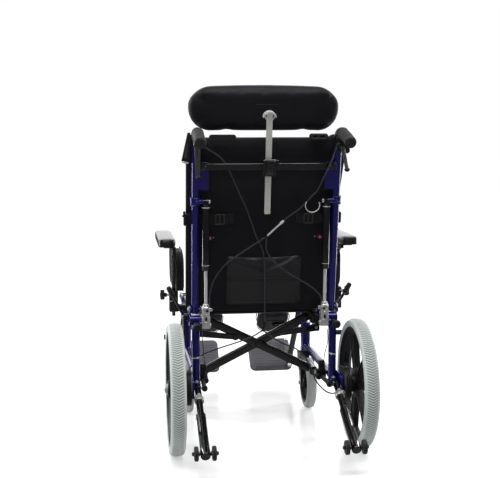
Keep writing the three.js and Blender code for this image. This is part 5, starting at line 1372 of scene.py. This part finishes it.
class WHEELCHAIR_OT_legrests(bpy.types.Operator):
    """Adds the legrests with their calf pads and footplates"""
    bl_idname = "wheelchair.legrests"
    bl_label = "Legrests"

    def execute(self, context):
        for side, sign in SIDES:
            legrest(side, sign, context.scene.wheelchair_sizes)
        return {"FINISHED"}


# Back canes and their handles

# Heights on the cane of the spring's pin and of the handle, and the hand lever's pin behind it
SPRING_PIN_Z = 345
HANDLE_Z = 560
LEVER_PIN = (-53, 528)
GRIP_DROOP = 9
LEVER_ANGLES = {"left": 58, "right": 36}
LEVER_WIDTHS = {"left": 9, "right": 7}
# Where the lever housing's sleeve starts on each cane
COVER_FOOT = {"left": 512, "right": 496}


def droop(co):
    """Lets a handle, drawn level to the rear, sag a little towards its end."""
    return Vector((co.x, co.y, co.z - GRIP_DROOP * (max(-60 - co.y, 0) / 110) ** 2))


def cane(side, sign):
    """One back cane with its spring boss, lever housing, push grip and hand lever."""
    body, where = "back_" + side, back_half(sign)
    path = bent(((0, 0, -12), (0, 0, HANDLE_Z), (0, -60, HANDLE_Z)), 45, 12)
    path += [droop(Vector((0, y, HANDLE_Z))) for y in (-85, -110, -135, -165)]
    post = Shape().tube(path, TUBE_RADIUS, 36)
    post.lathe(((12.3, -13), (16, -13), (17, -11.5), (17, 11.5), (16, 13), (12.3, 13)), "Z",
               (0, 0, SPRING_PIN_Z), 40)
    for rise in (-11.5, 11.5):
        post.ring((0, 0, SPRING_PIN_Z + rise), "Z", 16.6, 1.3)
    post.plate(rounded((-38.5, -4), (381, 465), 4), "Y", (-12.2, -8.2))
    post.rod((0, -8, SPRING_PIN_Z), (0, -17.5, SPRING_PIN_Z), 9, 7.5)
    post.rod((-24, -12, SPRING_PIN_Z), (0, -12, SPRING_PIN_Z), 8)
    post.nut((-2, -17, SPRING_PIN_Z), (-2, -21.5, SPRING_PIN_Z), 13, 1)
    post.piece("cane_tube_" + side, "frame", where, body, ("back_cane_" + side,), bevel=1.0)
    metal = Shape().rod((-42, -12, SPRING_PIN_Z), (-18, -12, SPRING_PIN_Z), 4)
    metal.lathe(((0, -43.5), (5.2, -43.5), (6.5, -42), (6.5, -39.2), (0, -39.2)), "X",
                (0, -12, SPRING_PIN_Z), 28)
    metal.piece("cane_hardware_" + side, "chrome", where, body, bevel=0.5)
    housing = Shape()
    housing.lathe(((12.6, -60), (15.5, -60), (16.5, -58.5), (16.5, -47.5), (15.5, -46), (12.6, -46)), "Y",
                  (0, 0, HANDLE_Z), 36)
    for low, high in ((6, 9), (-9, -6)):
        housing.plate(strap_outline(LEVER_PIN, (LEVER_PIN[0], 547.5), 6.5, 7), "X", (low, high))
    housing.box((-8, 8), (-59, -47), (540, 549)).rod((0, -46, 541), (0, -34, 537), 4.2, 3)
    housing.tube(bent(((0, 0, COVER_FOOT[side]), (0, 0, HANDLE_Z), (0, -59, HANDLE_Z)), 45, 10), 14.2, 36)
    housing.plate(strap_outline((-30, 545), (-50, 530), 14, 13), "X", (-10, 10))
    housing.rod((-9, LEVER_PIN[0], HANDLE_Z), (-17.5, LEVER_PIN[0], HANDLE_Z), 5, sides=20)
    if side == "right":
        housing.plate(strap_outline((4, 540), (16, 508), 12, 9), "Y", (-58, -40))
    housing.piece("lever_housing_" + side, "moulding", where, body, bevel=0.9)
    pin = Shape().rod((-10.4, *LEVER_PIN), (10.4, *LEVER_PIN), 3, sides=20)
    pin.rod((9, *LEVER_PIN), (10.8, *LEVER_PIN), 4.6, sides=20)
    pin.piece("lever_pin_" + side, "zinc", where, body, bevel=0.3)
    grip = Shape()
    profile = [(12.9, -60.4), (18, -60.4), (18.4, -61.5), (18.4, -64), (16.6, -65.6)]
    for i in range(13):
        at = -69 - 6.6 * i
        profile += [(16.1, at + 1.6), (16.9, at), (16.9, at - 2.4), (16.1, at - 4)]
    profile += [(16.1, -158), (17.2, -160), (17.4, -164), (16.4, -168), (13.5, -169.8), (0, -169.8)]
    profile += [(0, -166), (12.9, -165.4)]
    grip.lathe(profile, "Y", (0, 0, HANDLE_Z))
    for vert in grip.mesh.verts:
        vert.co = droop(vert.co)
    grip.ring((0, -169.6, HANDLE_Z - GRIP_DROOP), "Y", 10.5, 0.9)
    grip.piece("push_grip_rubber_" + side, "rubber", where, body, ("push_grip_" + side,), bevel=0,
               angle=50)
    lever_at = where @ shift(0, *LEVER_PIN) @ tilt(LEVER_ANGLES[side])
    lever = Shape()
    line = [(0, -y, 0) for y in (0, 12, 30, 60, 85, 98, 104)]
    wide = LEVER_WIDTHS[side]
    lever.tube(line, [5, wide, wide, wide * 0.9, wide * 0.8, wide * 0.8, 5], 24, 0.45, (1, 0, 0))
    lever.rod((-5.4, 0, 0), (5.4, 0, 0), 7).ball((0, -104, 0), 7, (1.15, 1, 0.9))
    lever.piece("lever_blade_" + side, "moulding", lever_at, "hand_lever_" + side,
                ("hand_lever_" + side,), bevel=0.8)


class WHEELCHAIR_OT_canes(bpy.types.Operator):
    """Adds the back canes with their push grips and hand levers"""
    bl_idname = "wheelchair.canes"
    bl_label = "Back canes"

    def execute(self, context):
        for side, sign in SIDES:
            cane(side, sign)
        return {"FINISHED"}


# Gas springs

# How far inboard of the frame tubes the springs stand, their upper pin and their lean in degrees
SPRING_INBOARD = -30
SPRING_TOP = (13.27, 767.7)
SPRING_LEAN = 4.74


def gas_spring(side, sign):
    """One gas spring: its cylinder hangs from the cane, its rod and head stand on the frame."""
    upper = half(sign) @ shift(SPRING_INBOARD, *SPRING_TOP) @ tilt(SPRING_LEAN)
    lower = half(sign) @ shift(SPRING_INBOARD, *SPRING_FOOT) @ tilt(SPRING_LEAN)
    barrel = Shape()
    barrel.lathe(((6.2, -211), (10.5, -211), (11.5, -209.5), (11.5, -186), (11, -185.4), (11, -184),
                  (11.5, -183.4), (11.5, -12), (10.4, -10), (0, -10), (0, -30), (9, -30), (9, -205),
                  (6.2, -205)), sides=40)
    eye = circle((0, 0), 4.3, 20)
    barrel.plate(strap_outline((0, -14), (0, 0), 8), "X", (-8, 8), holes=(eye,))
    barrel.piece("gas_barrel_" + side, "tube", upper, "gas_cylinder_" + side, ("gas_cylinder_" + side,),
                 bevel=0.6)
    band = Shape().lathe(((11.4, -19), (11.8, -18.6), (11.8, -16.4), (11.4, -16)), sides=40)
    band.lathe(((11.3, -196), (11.65, -195.6), (11.65, -194.4), (11.3, -194)), sides=40)
    band.piece("gas_band_" + side, "chrome", upper, "gas_cylinder_" + side, bevel=0)
    head = Shape().plate(rounded((-11, 11), (-10, 30), 5.5), "X", (-12.5, 12.5), holes=(eye,))
    head.plate(rounded((-10, 10), (26, 56), 3), "X", (-11.5, 11.5))
    head.lathe(((0, 54), (11.5, 54), (12.3, 55.5), (12.3, 58), (9.5, 61), (9.5, 66), (7.3, 68), (0, 68)),
               sides=32)
    head.box((-19, 0), (-3, 3), (46, 52)).rod((-16, 0, 44), (-16, 0, 54), 4)
    for x in (-6.5, 6.5):
        head.box((x - 1.4, x + 1.4), (-12.2, -10), (2, 44))
    head.rod((0, -11, 34), (0, -14.5, 34), 4.5, sides=20).rod((0, -11, 10), (0, -13.5, 10), 3.6, sides=20)
    head.piece("gas_head_" + side, "zinc", lower, "gas_rod_" + side, ("gas_rod_" + side,), bevel=0.9)
    slots = Shape().plate(rounded((-3.2, 3.2), (16, 27), 2.5), "Y", (-12, -9))
    slots.plate(rounded((-7.5, 1), (45, 51), 2.5), "Y", (-12, -9))
    slots.box((-12.8, -11), (-5, 5), (14, 30)).box((11, 12.8), (-5, 5), (14, 30))
    slots.piece("gas_head_slots_" + side, "moulding", lower, "gas_rod_" + side, bevel=0.4)
    rod = Shape().rod((0, 0, 60), (0, 0, 300), 5, sides=32)
    rod.piece("gas_piston_" + side, "chrome", lower, "gas_rod_" + side, bevel=0.3)


class WHEELCHAIR_OT_gas_springs(bpy.types.Operator):
    """Adds the gas springs of the back"""
    bl_idname = "wheelchair.gas_springs"
    bl_label = "Gas springs"

    def execute(self, context):
        for side, sign in SIDES:
            gas_spring(side, sign)
        return {"FINISHED"}


# Cross brace and seat

# An arm's upper end, inboard and up from its foot, and the thickness of its bar
ARM_RUN, ARM_RISE = 362, 181
ARM_THICK = 18
SEAT_Y = 329
# Half of the cushion's width, length and height
SEAT_HALF = (198, 195, 27.5)


def brace(side, sign):
    """One arm of the cross brace with its seat rail, and the link that steadies it."""
    near = 208 if sign > 0 else 226.5
    middle = near + ARM_THICK / 2
    way = -1 if sign > 0 else 1
    lean = math.degrees(math.atan2(ARM_RISE, ARM_RUN))
    where = half(sign) @ shift(-34, 0, 197)
    arm = Shape()
    arm.plate(rounded((near, near + ARM_THICK), (-13.6, 13.6), 5), "X", (-399, 0), matrix=tilt(lean, "Y"))
    arm.lathe(((9.6, -33), (14, -33), (15, -32), (15, 32), (14, 33), (9.6, 33)), "Y", (0, middle, 0), 36)
    arm.rod((-ARM_RUN, 130, ARM_RISE), (-ARM_RUN, 528, ARM_RISE), 11, sides=32)
    arm.piece("cross_arm_tube_" + side, "tube", where, "cross_arm_" + side, ("cross_arm_" + side,),
              bevel=3.0)
    face = middle + way * ARM_THICK / 2
    pivot = Shape().nut((-ARM_RUN / 2, face, ARM_RISE / 2),
                        (-ARM_RUN / 2, face + way * 5.4, ARM_RISE / 2), 19, 1.2)
    pivot.piece("cross_arm_bolt_" + side, "tube", where, "cross_arm_" + side, bevel=0.5)
    plugs = Shape()
    for y0, y1 in ((127, 131), (527, 531)):
        plugs.rod((-ARM_RUN, y0, ARM_RISE), (-ARM_RUN, y1, ARM_RISE), 11.4, sides=32)
    plugs.piece("cross_arm_plugs_" + side, "moulding", where, "cross_arm_" + side, bevel=0.6)
    link_at = half(sign) @ shift(LINK_PIN[0], 0, LINK_PIN[1])
    low, high = (245, 250) if sign > 0 else (202.5, 207.5)
    link = Shape().plate(strap_outline((0, 0), (-125, -17), 12, 8), "Y", (low, high),
                         holes=(circle((0, 0), 5.4, 20),))
    link.piece("link_bar_" + side, "tube", link_at, "brace_link_" + side, ("brace_link_" + side,),
               bevel=1.0)
    start, end = (high, high + 3.8) if sign > 0 else (low, low - 3.8)
    bolt = Shape().nut((-125, start, -17), (-125, end, -17), 15, 1)
    bolt.piece("link_bolt_" + side, "tube", link_at, "brace_link_" + side, bevel=0.4)


def rear_curl(x, y):
    """How far the sling and the cushion's underside curl up towards the back."""
    return 17 * (1 - ramp(130, 215, y)) * (1 - ramp(150, 176, abs(x)))


def sling_form(u, v, w):
    """A thin taut cloth with thicker hems at its front and back edges."""
    x, y = square_to_round(u * 186, v * 200, 186, 200, 6)
    y += 330
    hem = 0.6 * math.exp(-((abs(v) - 0.95) / 0.02) ** 2)
    return x, y, 390.9 + w * (1.4 + hem) + rear_curl(x, y)


def seat_form(u, v, w):
    """A thick seat cushion: domed top, round edges and quilted channels."""
    half_x, half_y, half_z = SEAT_HALF
    x, y = square_to_round(u * half_x, v * half_y, half_x, half_y, 34)
    side = 1 - 0.03 * (1 - w * w)
    dome = (1 - abs(u) ** 4) * (1 - abs(v) ** 4)
    height = w * half_z
    if w > 0:
        height -= 9 * (1 - dome) * w
        height -= 2.5 * w * (math.exp(-(x / 5) ** 2) + math.exp(-((abs(y) - 70) / 5) ** 2))
    else:
        height -= w * rear_curl(x, y + SEAT_Y)
    return x * side, y * side, height


class WHEELCHAIR_OT_seat(bpy.types.Operator):
    """Adds the cross brace, the seat sling and the seat cushion"""
    bl_idname = "wheelchair.seat"
    bl_label = "Cross brace and seat"

    def execute(self, context):
        for side, sign in SIDES:
            brace(side, sign)
        sling = Shape().soft((40, 60, 1), sling_form)
        piece = sling.piece("seat_sling_cloth", "cloth", CHAIR, "seat", ("seat_sling",), bevel=0,
                            angle=80)
        fold_with(piece)
        cushion = Shape().soft((40, 40, 6), seat_form, shift(0, SEAT_Y, 420.1))
        cover = cushion.piece("seat_cushion_cover", "cushion", CHAIR, "seat", ("seat_cushion",), bevel=0,
                              angle=180)
        inflate(cover, 6, context.scene.wheelchair_sizes.swell, seated=True)
        if cover.modifiers:
            freeze(cover)
        fold_with(cover)
        return {"FINISHED"}


# Back upholstery

PANEL_WIDTH, PANEL_FOOT, PANEL_TOP = 486, -4, 533
PANEL_REAR, PANEL_FRONT = 12.8, 41.5
# How far the panel's right edge draws in below its middle, and its upper corners rise
PANEL_TAPER, PANEL_EARS = 16, 9
# Half of the pocket's width and height, and the height of its middle
POCKET_X, POCKET_Z, POCKET_MIDDLE = 117, 79, 87
# Folds of the panel and of the pocket: start, end, width and share of the full depth
FOLDS = (
    ((-60, 470), (40, 300), 10, -0.9), ((-100, 420), (-20, 260), 14, -0.7),
    ((150, 440), (60, 250), 12, -0.8), ((-170, 250), (-60, 200), 16, 0.8),
    ((170, 240), (70, 190), 16, 0.8), ((-210, 150), (-130, 60), 14, -0.8),
    ((205, 160), (135, 50), 14, -0.8), ((-120, 520), (-160, 420), 12, 0.6),
    ((100, 520), (150, 420), 12, 0.6),
)
POCKET_FOLDS = (
    ((-108, 160), (0, 108), 9, 1.0), ((108, 160), (0, 108), 9, 1.0), ((-80, 160), (0, 126), 7, -0.7),
    ((80, 160), (0, 126), 7, -0.7), ((-45, 160), (0, 142), 6, 0.6), ((45, 160), (0, 142), 6, 0.6),
)


def panel_form(wrinkle):
    """The back panel: a padded cloth with waves, folds and seams on its rear side."""
    half_x, half_z = PANEL_WIDTH / 2, (PANEL_TOP - PANEL_FOOT) / 2
    middle_z = (PANEL_TOP + PANEL_FOOT) / 2

    def bend(u, v, w):
        x, z = square_to_round(u * half_x, w * half_z, half_x, half_z, 16)
        dome = (1 - abs(u) ** 14) * (1 - abs(w) ** 16)
        thick = (PANEL_FRONT - PANEL_REAR) / 2 * (0.5 + 0.5 * dome)
        x -= PANEL_TAPER * ramp(150, half_x, x) * ramp(500, 290, z + middle_z)
        y = (PANEL_FRONT + PANEL_REAR) / 2 + v * thick
        z += middle_z
        ears = PANEL_EARS * ramp(185, 205, abs(x)) * ramp(500, PANEL_TOP, z)
        z += ears - 15 * ramp(40, PANEL_FOOT, z) * (1 - 0.3 * u * u)
        if v < -0.2:
            slow = noise.noise(Vector((x / 85, 3.1, z / 65)))
            slow += 0.5 * noise.noise(Vector((x / 38, 7, z / 30)))
            y += dome * wrinkle * slow
            for start, end, width, lift in FOLDS:
                y -= wrinkle * lift * crease(x, z, start, end, width) * dome
            for seam in (abs(abs(x) - 228), abs(z - 518)):
                y += 0.9 * math.exp(-(seam / 2.0) ** 2)
        return x, y, z
    return bend


def pocket_form(fold_depth):
    """The back pocket: a thin bag whose mouth sags in soft folds over a hem and a stitched edge."""
    def bend(u, v, w):
        x, z = square_to_round(u * POCKET_X, w * POCKET_Z, POCKET_X, POCKET_Z, 12)
        z += POCKET_MIDDLE
        sag = 7 * (1 - (x / POCKET_X) ** 2) * ramp(110, POCKET_MIDDLE + POCKET_Z, z)
        dome = (1 - abs(u) ** 10) * (1 - abs(w) ** 14)
        y = 14 if v > 0 else 11 - 6 * dome
        if v < 0:
            for start, end, width, lift in POCKET_FOLDS:
                y -= 0.5 * fold_depth * lift * crease(x, z, start, end, width) * ramp(96, 112, z)
            y -= 1.4 * noise.noise(Vector((x / 46, 1.7, z / 30))) * dome
            y += 1.9 * math.exp(-((z - 91) / 2.2) ** 2) - 1.2 * math.exp(-((z - 95) / 2.4) ** 2)
            y += 1.5 * math.exp(-((z - 26) / 2.0) ** 2) + 0.9 * math.exp(-((abs(x) - 110) / 1.8) ** 2)
        return x, y, z - sag
    return bend


def slider(x, z, tall=34, wide=30):
    """A two-slot strap slider lying on the rear of the back, its slots across a level strap."""
    outline = rounded((x - wide / 2, x + wide / 2), (z - tall / 2, z + tall / 2), 4)
    holes = [rounded((x + a, x + b), (z - tall / 2 + 4, z + tall / 2 - 4), 1.5, 3)
             for a, b in ((-wide / 2 + 4, -2), (2, wide / 2 - 4))]
    return outline, holes


class WHEELCHAIR_OT_back(bpy.types.Operator):
    """Adds the back upholstery with its pocket, straps, buckles and snaps"""
    bl_idname = "wheelchair.back"
    bl_label = "Back upholstery"

    def execute(self, context):
        sizes = context.scene.wheelchair_sizes
        made = []
        panel = Shape().soft((84, 4, 92), panel_form(sizes.wrinkle / MM))
        made.append(panel.piece("back_panel", "cloth", BACK, "back_left", ("back_upholstery",), bevel=0,
                                angle=80, smooth=1))
        pocket = Shape().soft((60, 1, 56), pocket_form(sizes.fold_depth / MM))
        made.append(pocket.piece("back_pocket", "pocket", BACK, "back_left", bevel=0, angle=80, smooth=1))
        for piece in made:
            freeze(piece)
        hem = Shape()
        pocket_edge = [(x, 9.6, z) for x, z in rounded((-116, 116), (9, 150), 11, 8)]
        hem.tube(pocket_edge + pocket_edge[:1], 1.4, 8)
        made.append(hem.piece("back_piping", "webbing", BACK, "back_left", bevel=0))

        bands = Shape()
        for x0, x1 in ((-243, -98), (98, 230)):
            bands.plate(rounded((x0, x1), (270, 300), 2), "Y", (9.4, 12.6))
            left, right = (66, 30) if x0 < 0 else (30, 66)
            bands.plate(rounded((x0 + left, x1 - right), (266, 272), 2), "Y", (8.2, 10))
        bands.plate(rounded((-176, -94), (529, 546), 8), "Y", (3, 6.4))
        bands.plate(rounded((128, 186), (528, 548), 8), "Y", (5.4, 12))
        bands.plate([(-240, 552), (-231, 552), (-235, 462), (-258, 467)], "Y", (-2, 5))
        bands.plate(strap_outline((-236, 300), (-252, 296), 3), "Y", (6, 11))
        made.append(bands.piece("back_straps", "webbing", BACK, "back_left", bevel=0.7))

        buckles = Shape()
        for x in (-140, 134):
            outline, holes = slider(x, 285)
            buckles.plate(outline, "Y", (5.4, 8.6), holes=holes)
        outline, holes = slider(157, 540, 16, 46)
        buckles.plate(outline, "Y", (0, 5), holes=holes)
        buckles.plate([(-251, 478), (-243, 520), (-239, 520), (-241, 476)], "Y", (-4, -1))
        made.append(buckles.piece("back_sliders", "buckle", BACK, "back_left", bevel=0.8))

        clips = Shape().plate(rounded((-251, -243), (267, 296), 3), "Y", (2, 14))
        clips.plate(rounded((-252, -245), (299, 311), 2), "Y", (4, 12))
        clips.plate(rounded((229, 236), (270, 304), 3), "Y", (2, 14))
        made.append(clips.piece("back_clips", "moulding", BACK, "back_left", bevel=1.0))

        bar = Shape().rod((-255, 0, 466), (-237, 0, 461), 3.2)
        made.append(bar.piece("back_flap_bar", "zinc", BACK, "back_left", bevel=0.6))

        snaps, studs = Shape(), Shape()
        for x, z, dot in ((-169.7, 224.8, 11), (173.3, 224.1, -16)):
            snaps.lathe(((4.2, 8.6), (6, 8.6), (7, 9.6), (7, 12.4), (4.2, 12.4)), "Y", (x, 0, z), 32)
            studs.lathe(((0, 8.2), (2.6, 8.2), (3.3, 9), (3.3, 12.4), (0, 12.4)), "Y", (x, 0, z), 24)
            studs.lathe(((0, 10), (1.2, 10), (1.8, 10.8), (1.8, 12.6), (0, 12.6)), "Y",
                        (x + dot, 0, z + 2), 16)
        made.append(snaps.piece("back_snap_rings", "snap", BACK, "back_left", bevel=0.3))
        made.append(studs.piece("back_snap_studs", "zinc", BACK, "back_left", bevel=0.2))
        for piece in made:
            fold_with(piece)
        return {"FINISHED"}


# Crossbar and headrest

# The crossbar's height, the clamp's pin, and the headrest's joint and middle, all in the back's plane
BAR_Z = 455
CLAMP_PIN = (-52.5, 475)
JOINT_Z = 607
PAD_CENTRE = Vector((0, 74.5, 617))
# Half of the headrest's width, thickness and height, and how far its wings come forward
HEAD_X, HEAD_Y, HEAD_Z, WINGS = 233, 35, 72, 26


def headrest_form(u, v, w):
    """A bolster with round ends whose wings come forward and hang a little."""
    x, z = square_to_round(u * HEAD_X, w * HEAD_Z, HEAD_X, HEAD_Z, 68)
    share = abs(x) / HEAD_X
    edge = max(abs(u), abs(w))
    dome = max(1 - edge ** 5, 0) ** 0.5
    y = v * HEAD_Y * (0.42 + 0.58 * dome) + WINGS * share ** 2.4
    z *= 0.975
    z += 6.5 * ramp(0, 1, w) * (0.35 - 1.8 * share ** 2.4) - 2
    z += 3.2 * math.exp(-((abs(x) - 118) / 14) ** 2) * ramp(0, -1, w)
    return x, y, z


def crossbar():
    """The bar between the canes with its clamp block, screws and end caps, and the clamp's lever."""
    bar = Shape().box((-205, 205), (-32.5, -12.5), (BAR_Z - 10, BAR_Z + 10))
    bar.plate(rounded((-21, 21), (BAR_Z - 26, BAR_Z + 26), 4), "Y", (-51.5, -31))
    for x in (-27, 19):
        bar.plate(rounded((x, x + 8) if x > 0 else (x + 6, x + 14), (460, 481), 2), "Y", (-60, -50))
    bar.piece("crossbar_tube", "tube", BACK, "back_left", ("crossbar",), bevel=1.8)
    metal = Shape()
    for x in (-189.5, 189.5):
        metal.nut((x, -32.5, BAR_Z), (x, -36, BAR_Z), 11, 1)
    metal.rod((-21, *CLAMP_PIN), (21, *CLAMP_PIN), 3, sides=16)
    metal.piece("crossbar_bolts", "tube", BACK, "back_left", bevel=0.4)
    caps = Shape()
    for ends in ((-206, -203), (203, 206)):
        caps.box(ends, (-33.2, -11.8), (BAR_Z - 10.7, BAR_Z + 10.7))
    caps.piece("crossbar_caps", "moulding", BACK, "back_left", bevel=0.8)
    lever = Shape().rod((-11, 0, 0), (11, 0, 0), 4.5)
    lever.plate([(-4.3, 2), (-4.3, -30), (-9, -38), (-5, -40), (2, -34), (3.4, -28), (3.4, 2)], "X",
                (-10.5, 10.5))
    lever.piece("clamp_lever_blade", "moulding", BACK @ shift(0, *CLAMP_PIN), "headrest_lever",
                ("headrest_clamp_lever",), bevel=1.0)


def headrest_post():
    """The flat bar with its row of dimples, and the bright collar under the headrest's joint."""
    post = Shape().plate(rounded((-10.5, 7.5), (312, 621), 3), "Y", (-41.5, -35.5))
    for z in range(330, 430, 20):
        post.ring((0, -41.4, z), "Y", 2.6, 0.5, 16)
    post.piece("headrest_bar", "steel", BACK, "headrest_post", ("headrest_post",), bevel=0.9)
    collar = Shape()
    crescent = arc((-1, 603), 20, 2, 178, 24) + arc((-1, 598), 18.5, 165, 15, 24)
    collar.plate(crescent, "Y", (-45, -24))
    collar.lathe(((11.8, -35.5), (15.2, -35.5), (15.2, -26), (11.8, -25)), "Y", (0, 0, JOINT_Z), 40)
    collar.piece("headrest_collar", "chrome", BACK, "headrest_post", bevel=1.2)


class WHEELCHAIR_OT_headrest(bpy.types.Operator):
    """Adds the crossbar with its clamp, the headrest post and the headrest"""
    bl_idname = "wheelchair.headrest"
    bl_label = "Headrest"

    def execute(self, context):
        crossbar()
        headrest_post()
        joint = Shape().ball((0, -25.5, JOINT_Z), 10.8).rod((0, -25.5, JOINT_Z), (0, 37, JOINT_Z), 7)
        joint.plate(rounded((-35, 35), (582, 632), 6), "Y", (35, 39))
        joint.piece("headrest_joint", "cloth", BACK, "headrest", ("headrest_bracket",), bevel=0.8)
        pad = Shape().soft((96, 10, 34), headrest_form, Matrix.Translation(PAD_CENTRE))
        cover = pad.piece("headrest_cover", "cloth", BACK, "headrest", ("headrest_pad",), bevel=0,
                          angle=180)
        inflate(cover, 5.5, min(context.scene.wheelchair_sizes.swell, 4 * MM))
        return {"FINISHED"}


class WHEELCHAIR_PT_panel(bpy.types.Panel):
    """Lists the pieces of the chair with their colours and sizes"""
    bl_label = "Wheelchair"
    bl_idname = "WHEELCHAIR_PT_panel"
    bl_space_type = "VIEW_3D"
    bl_region_type = "UI"
    bl_category = "Wheelchair"

    def draw(self, context):
        for operator in OPERATORS:
            self.layout.operator(operator.bl_idname)
        for group in (context.scene.wheelchair_colours, context.scene.wheelchair_sizes):
            column = self.layout.column()
            for name in group.bl_rna.properties.keys():
                if name not in ("rna_type", "name"):
                    column.prop(group, name)


# Finishes, camera and cables come first, and the rest follows from the floor up
OPERATORS = (
    WHEELCHAIR_OT_finishes, WHEELCHAIR_OT_stage, WHEELCHAIR_OT_cables, WHEELCHAIR_OT_side_frames,
    WHEELCHAIR_OT_rear_wheels, WHEELCHAIR_OT_casters, WHEELCHAIR_OT_anti_tippers,
    WHEELCHAIR_OT_armrests, WHEELCHAIR_OT_wheel_locks, WHEELCHAIR_OT_legrests, WHEELCHAIR_OT_canes,
    WHEELCHAIR_OT_gas_springs, WHEELCHAIR_OT_seat, WHEELCHAIR_OT_back, WHEELCHAIR_OT_headrest,
)
CLASSES = (WheelchairColours, WheelchairSizes, *OPERATORS, WHEELCHAIR_PT_panel)


def register():
    for kind in CLASSES:
        bpy.utils.register_class(kind)
    bpy.types.Scene.wheelchair_colours = bpy.props.PointerProperty(type=WheelchairColours)
    bpy.types.Scene.wheelchair_sizes = bpy.props.PointerProperty(type=WheelchairSizes)


def unregister():
    del bpy.types.Scene.wheelchair_colours
    del bpy.types.Scene.wheelchair_sizes
    for kind in reversed(CLASSES):
        bpy.utils.unregister_class(kind)


def main():
    register()
    for operator in OPERATORS:
        getattr(bpy.ops.wheelchair, operator.bl_idname.split(".")[1])()
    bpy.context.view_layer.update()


if __name__ == "__main__":
    main()
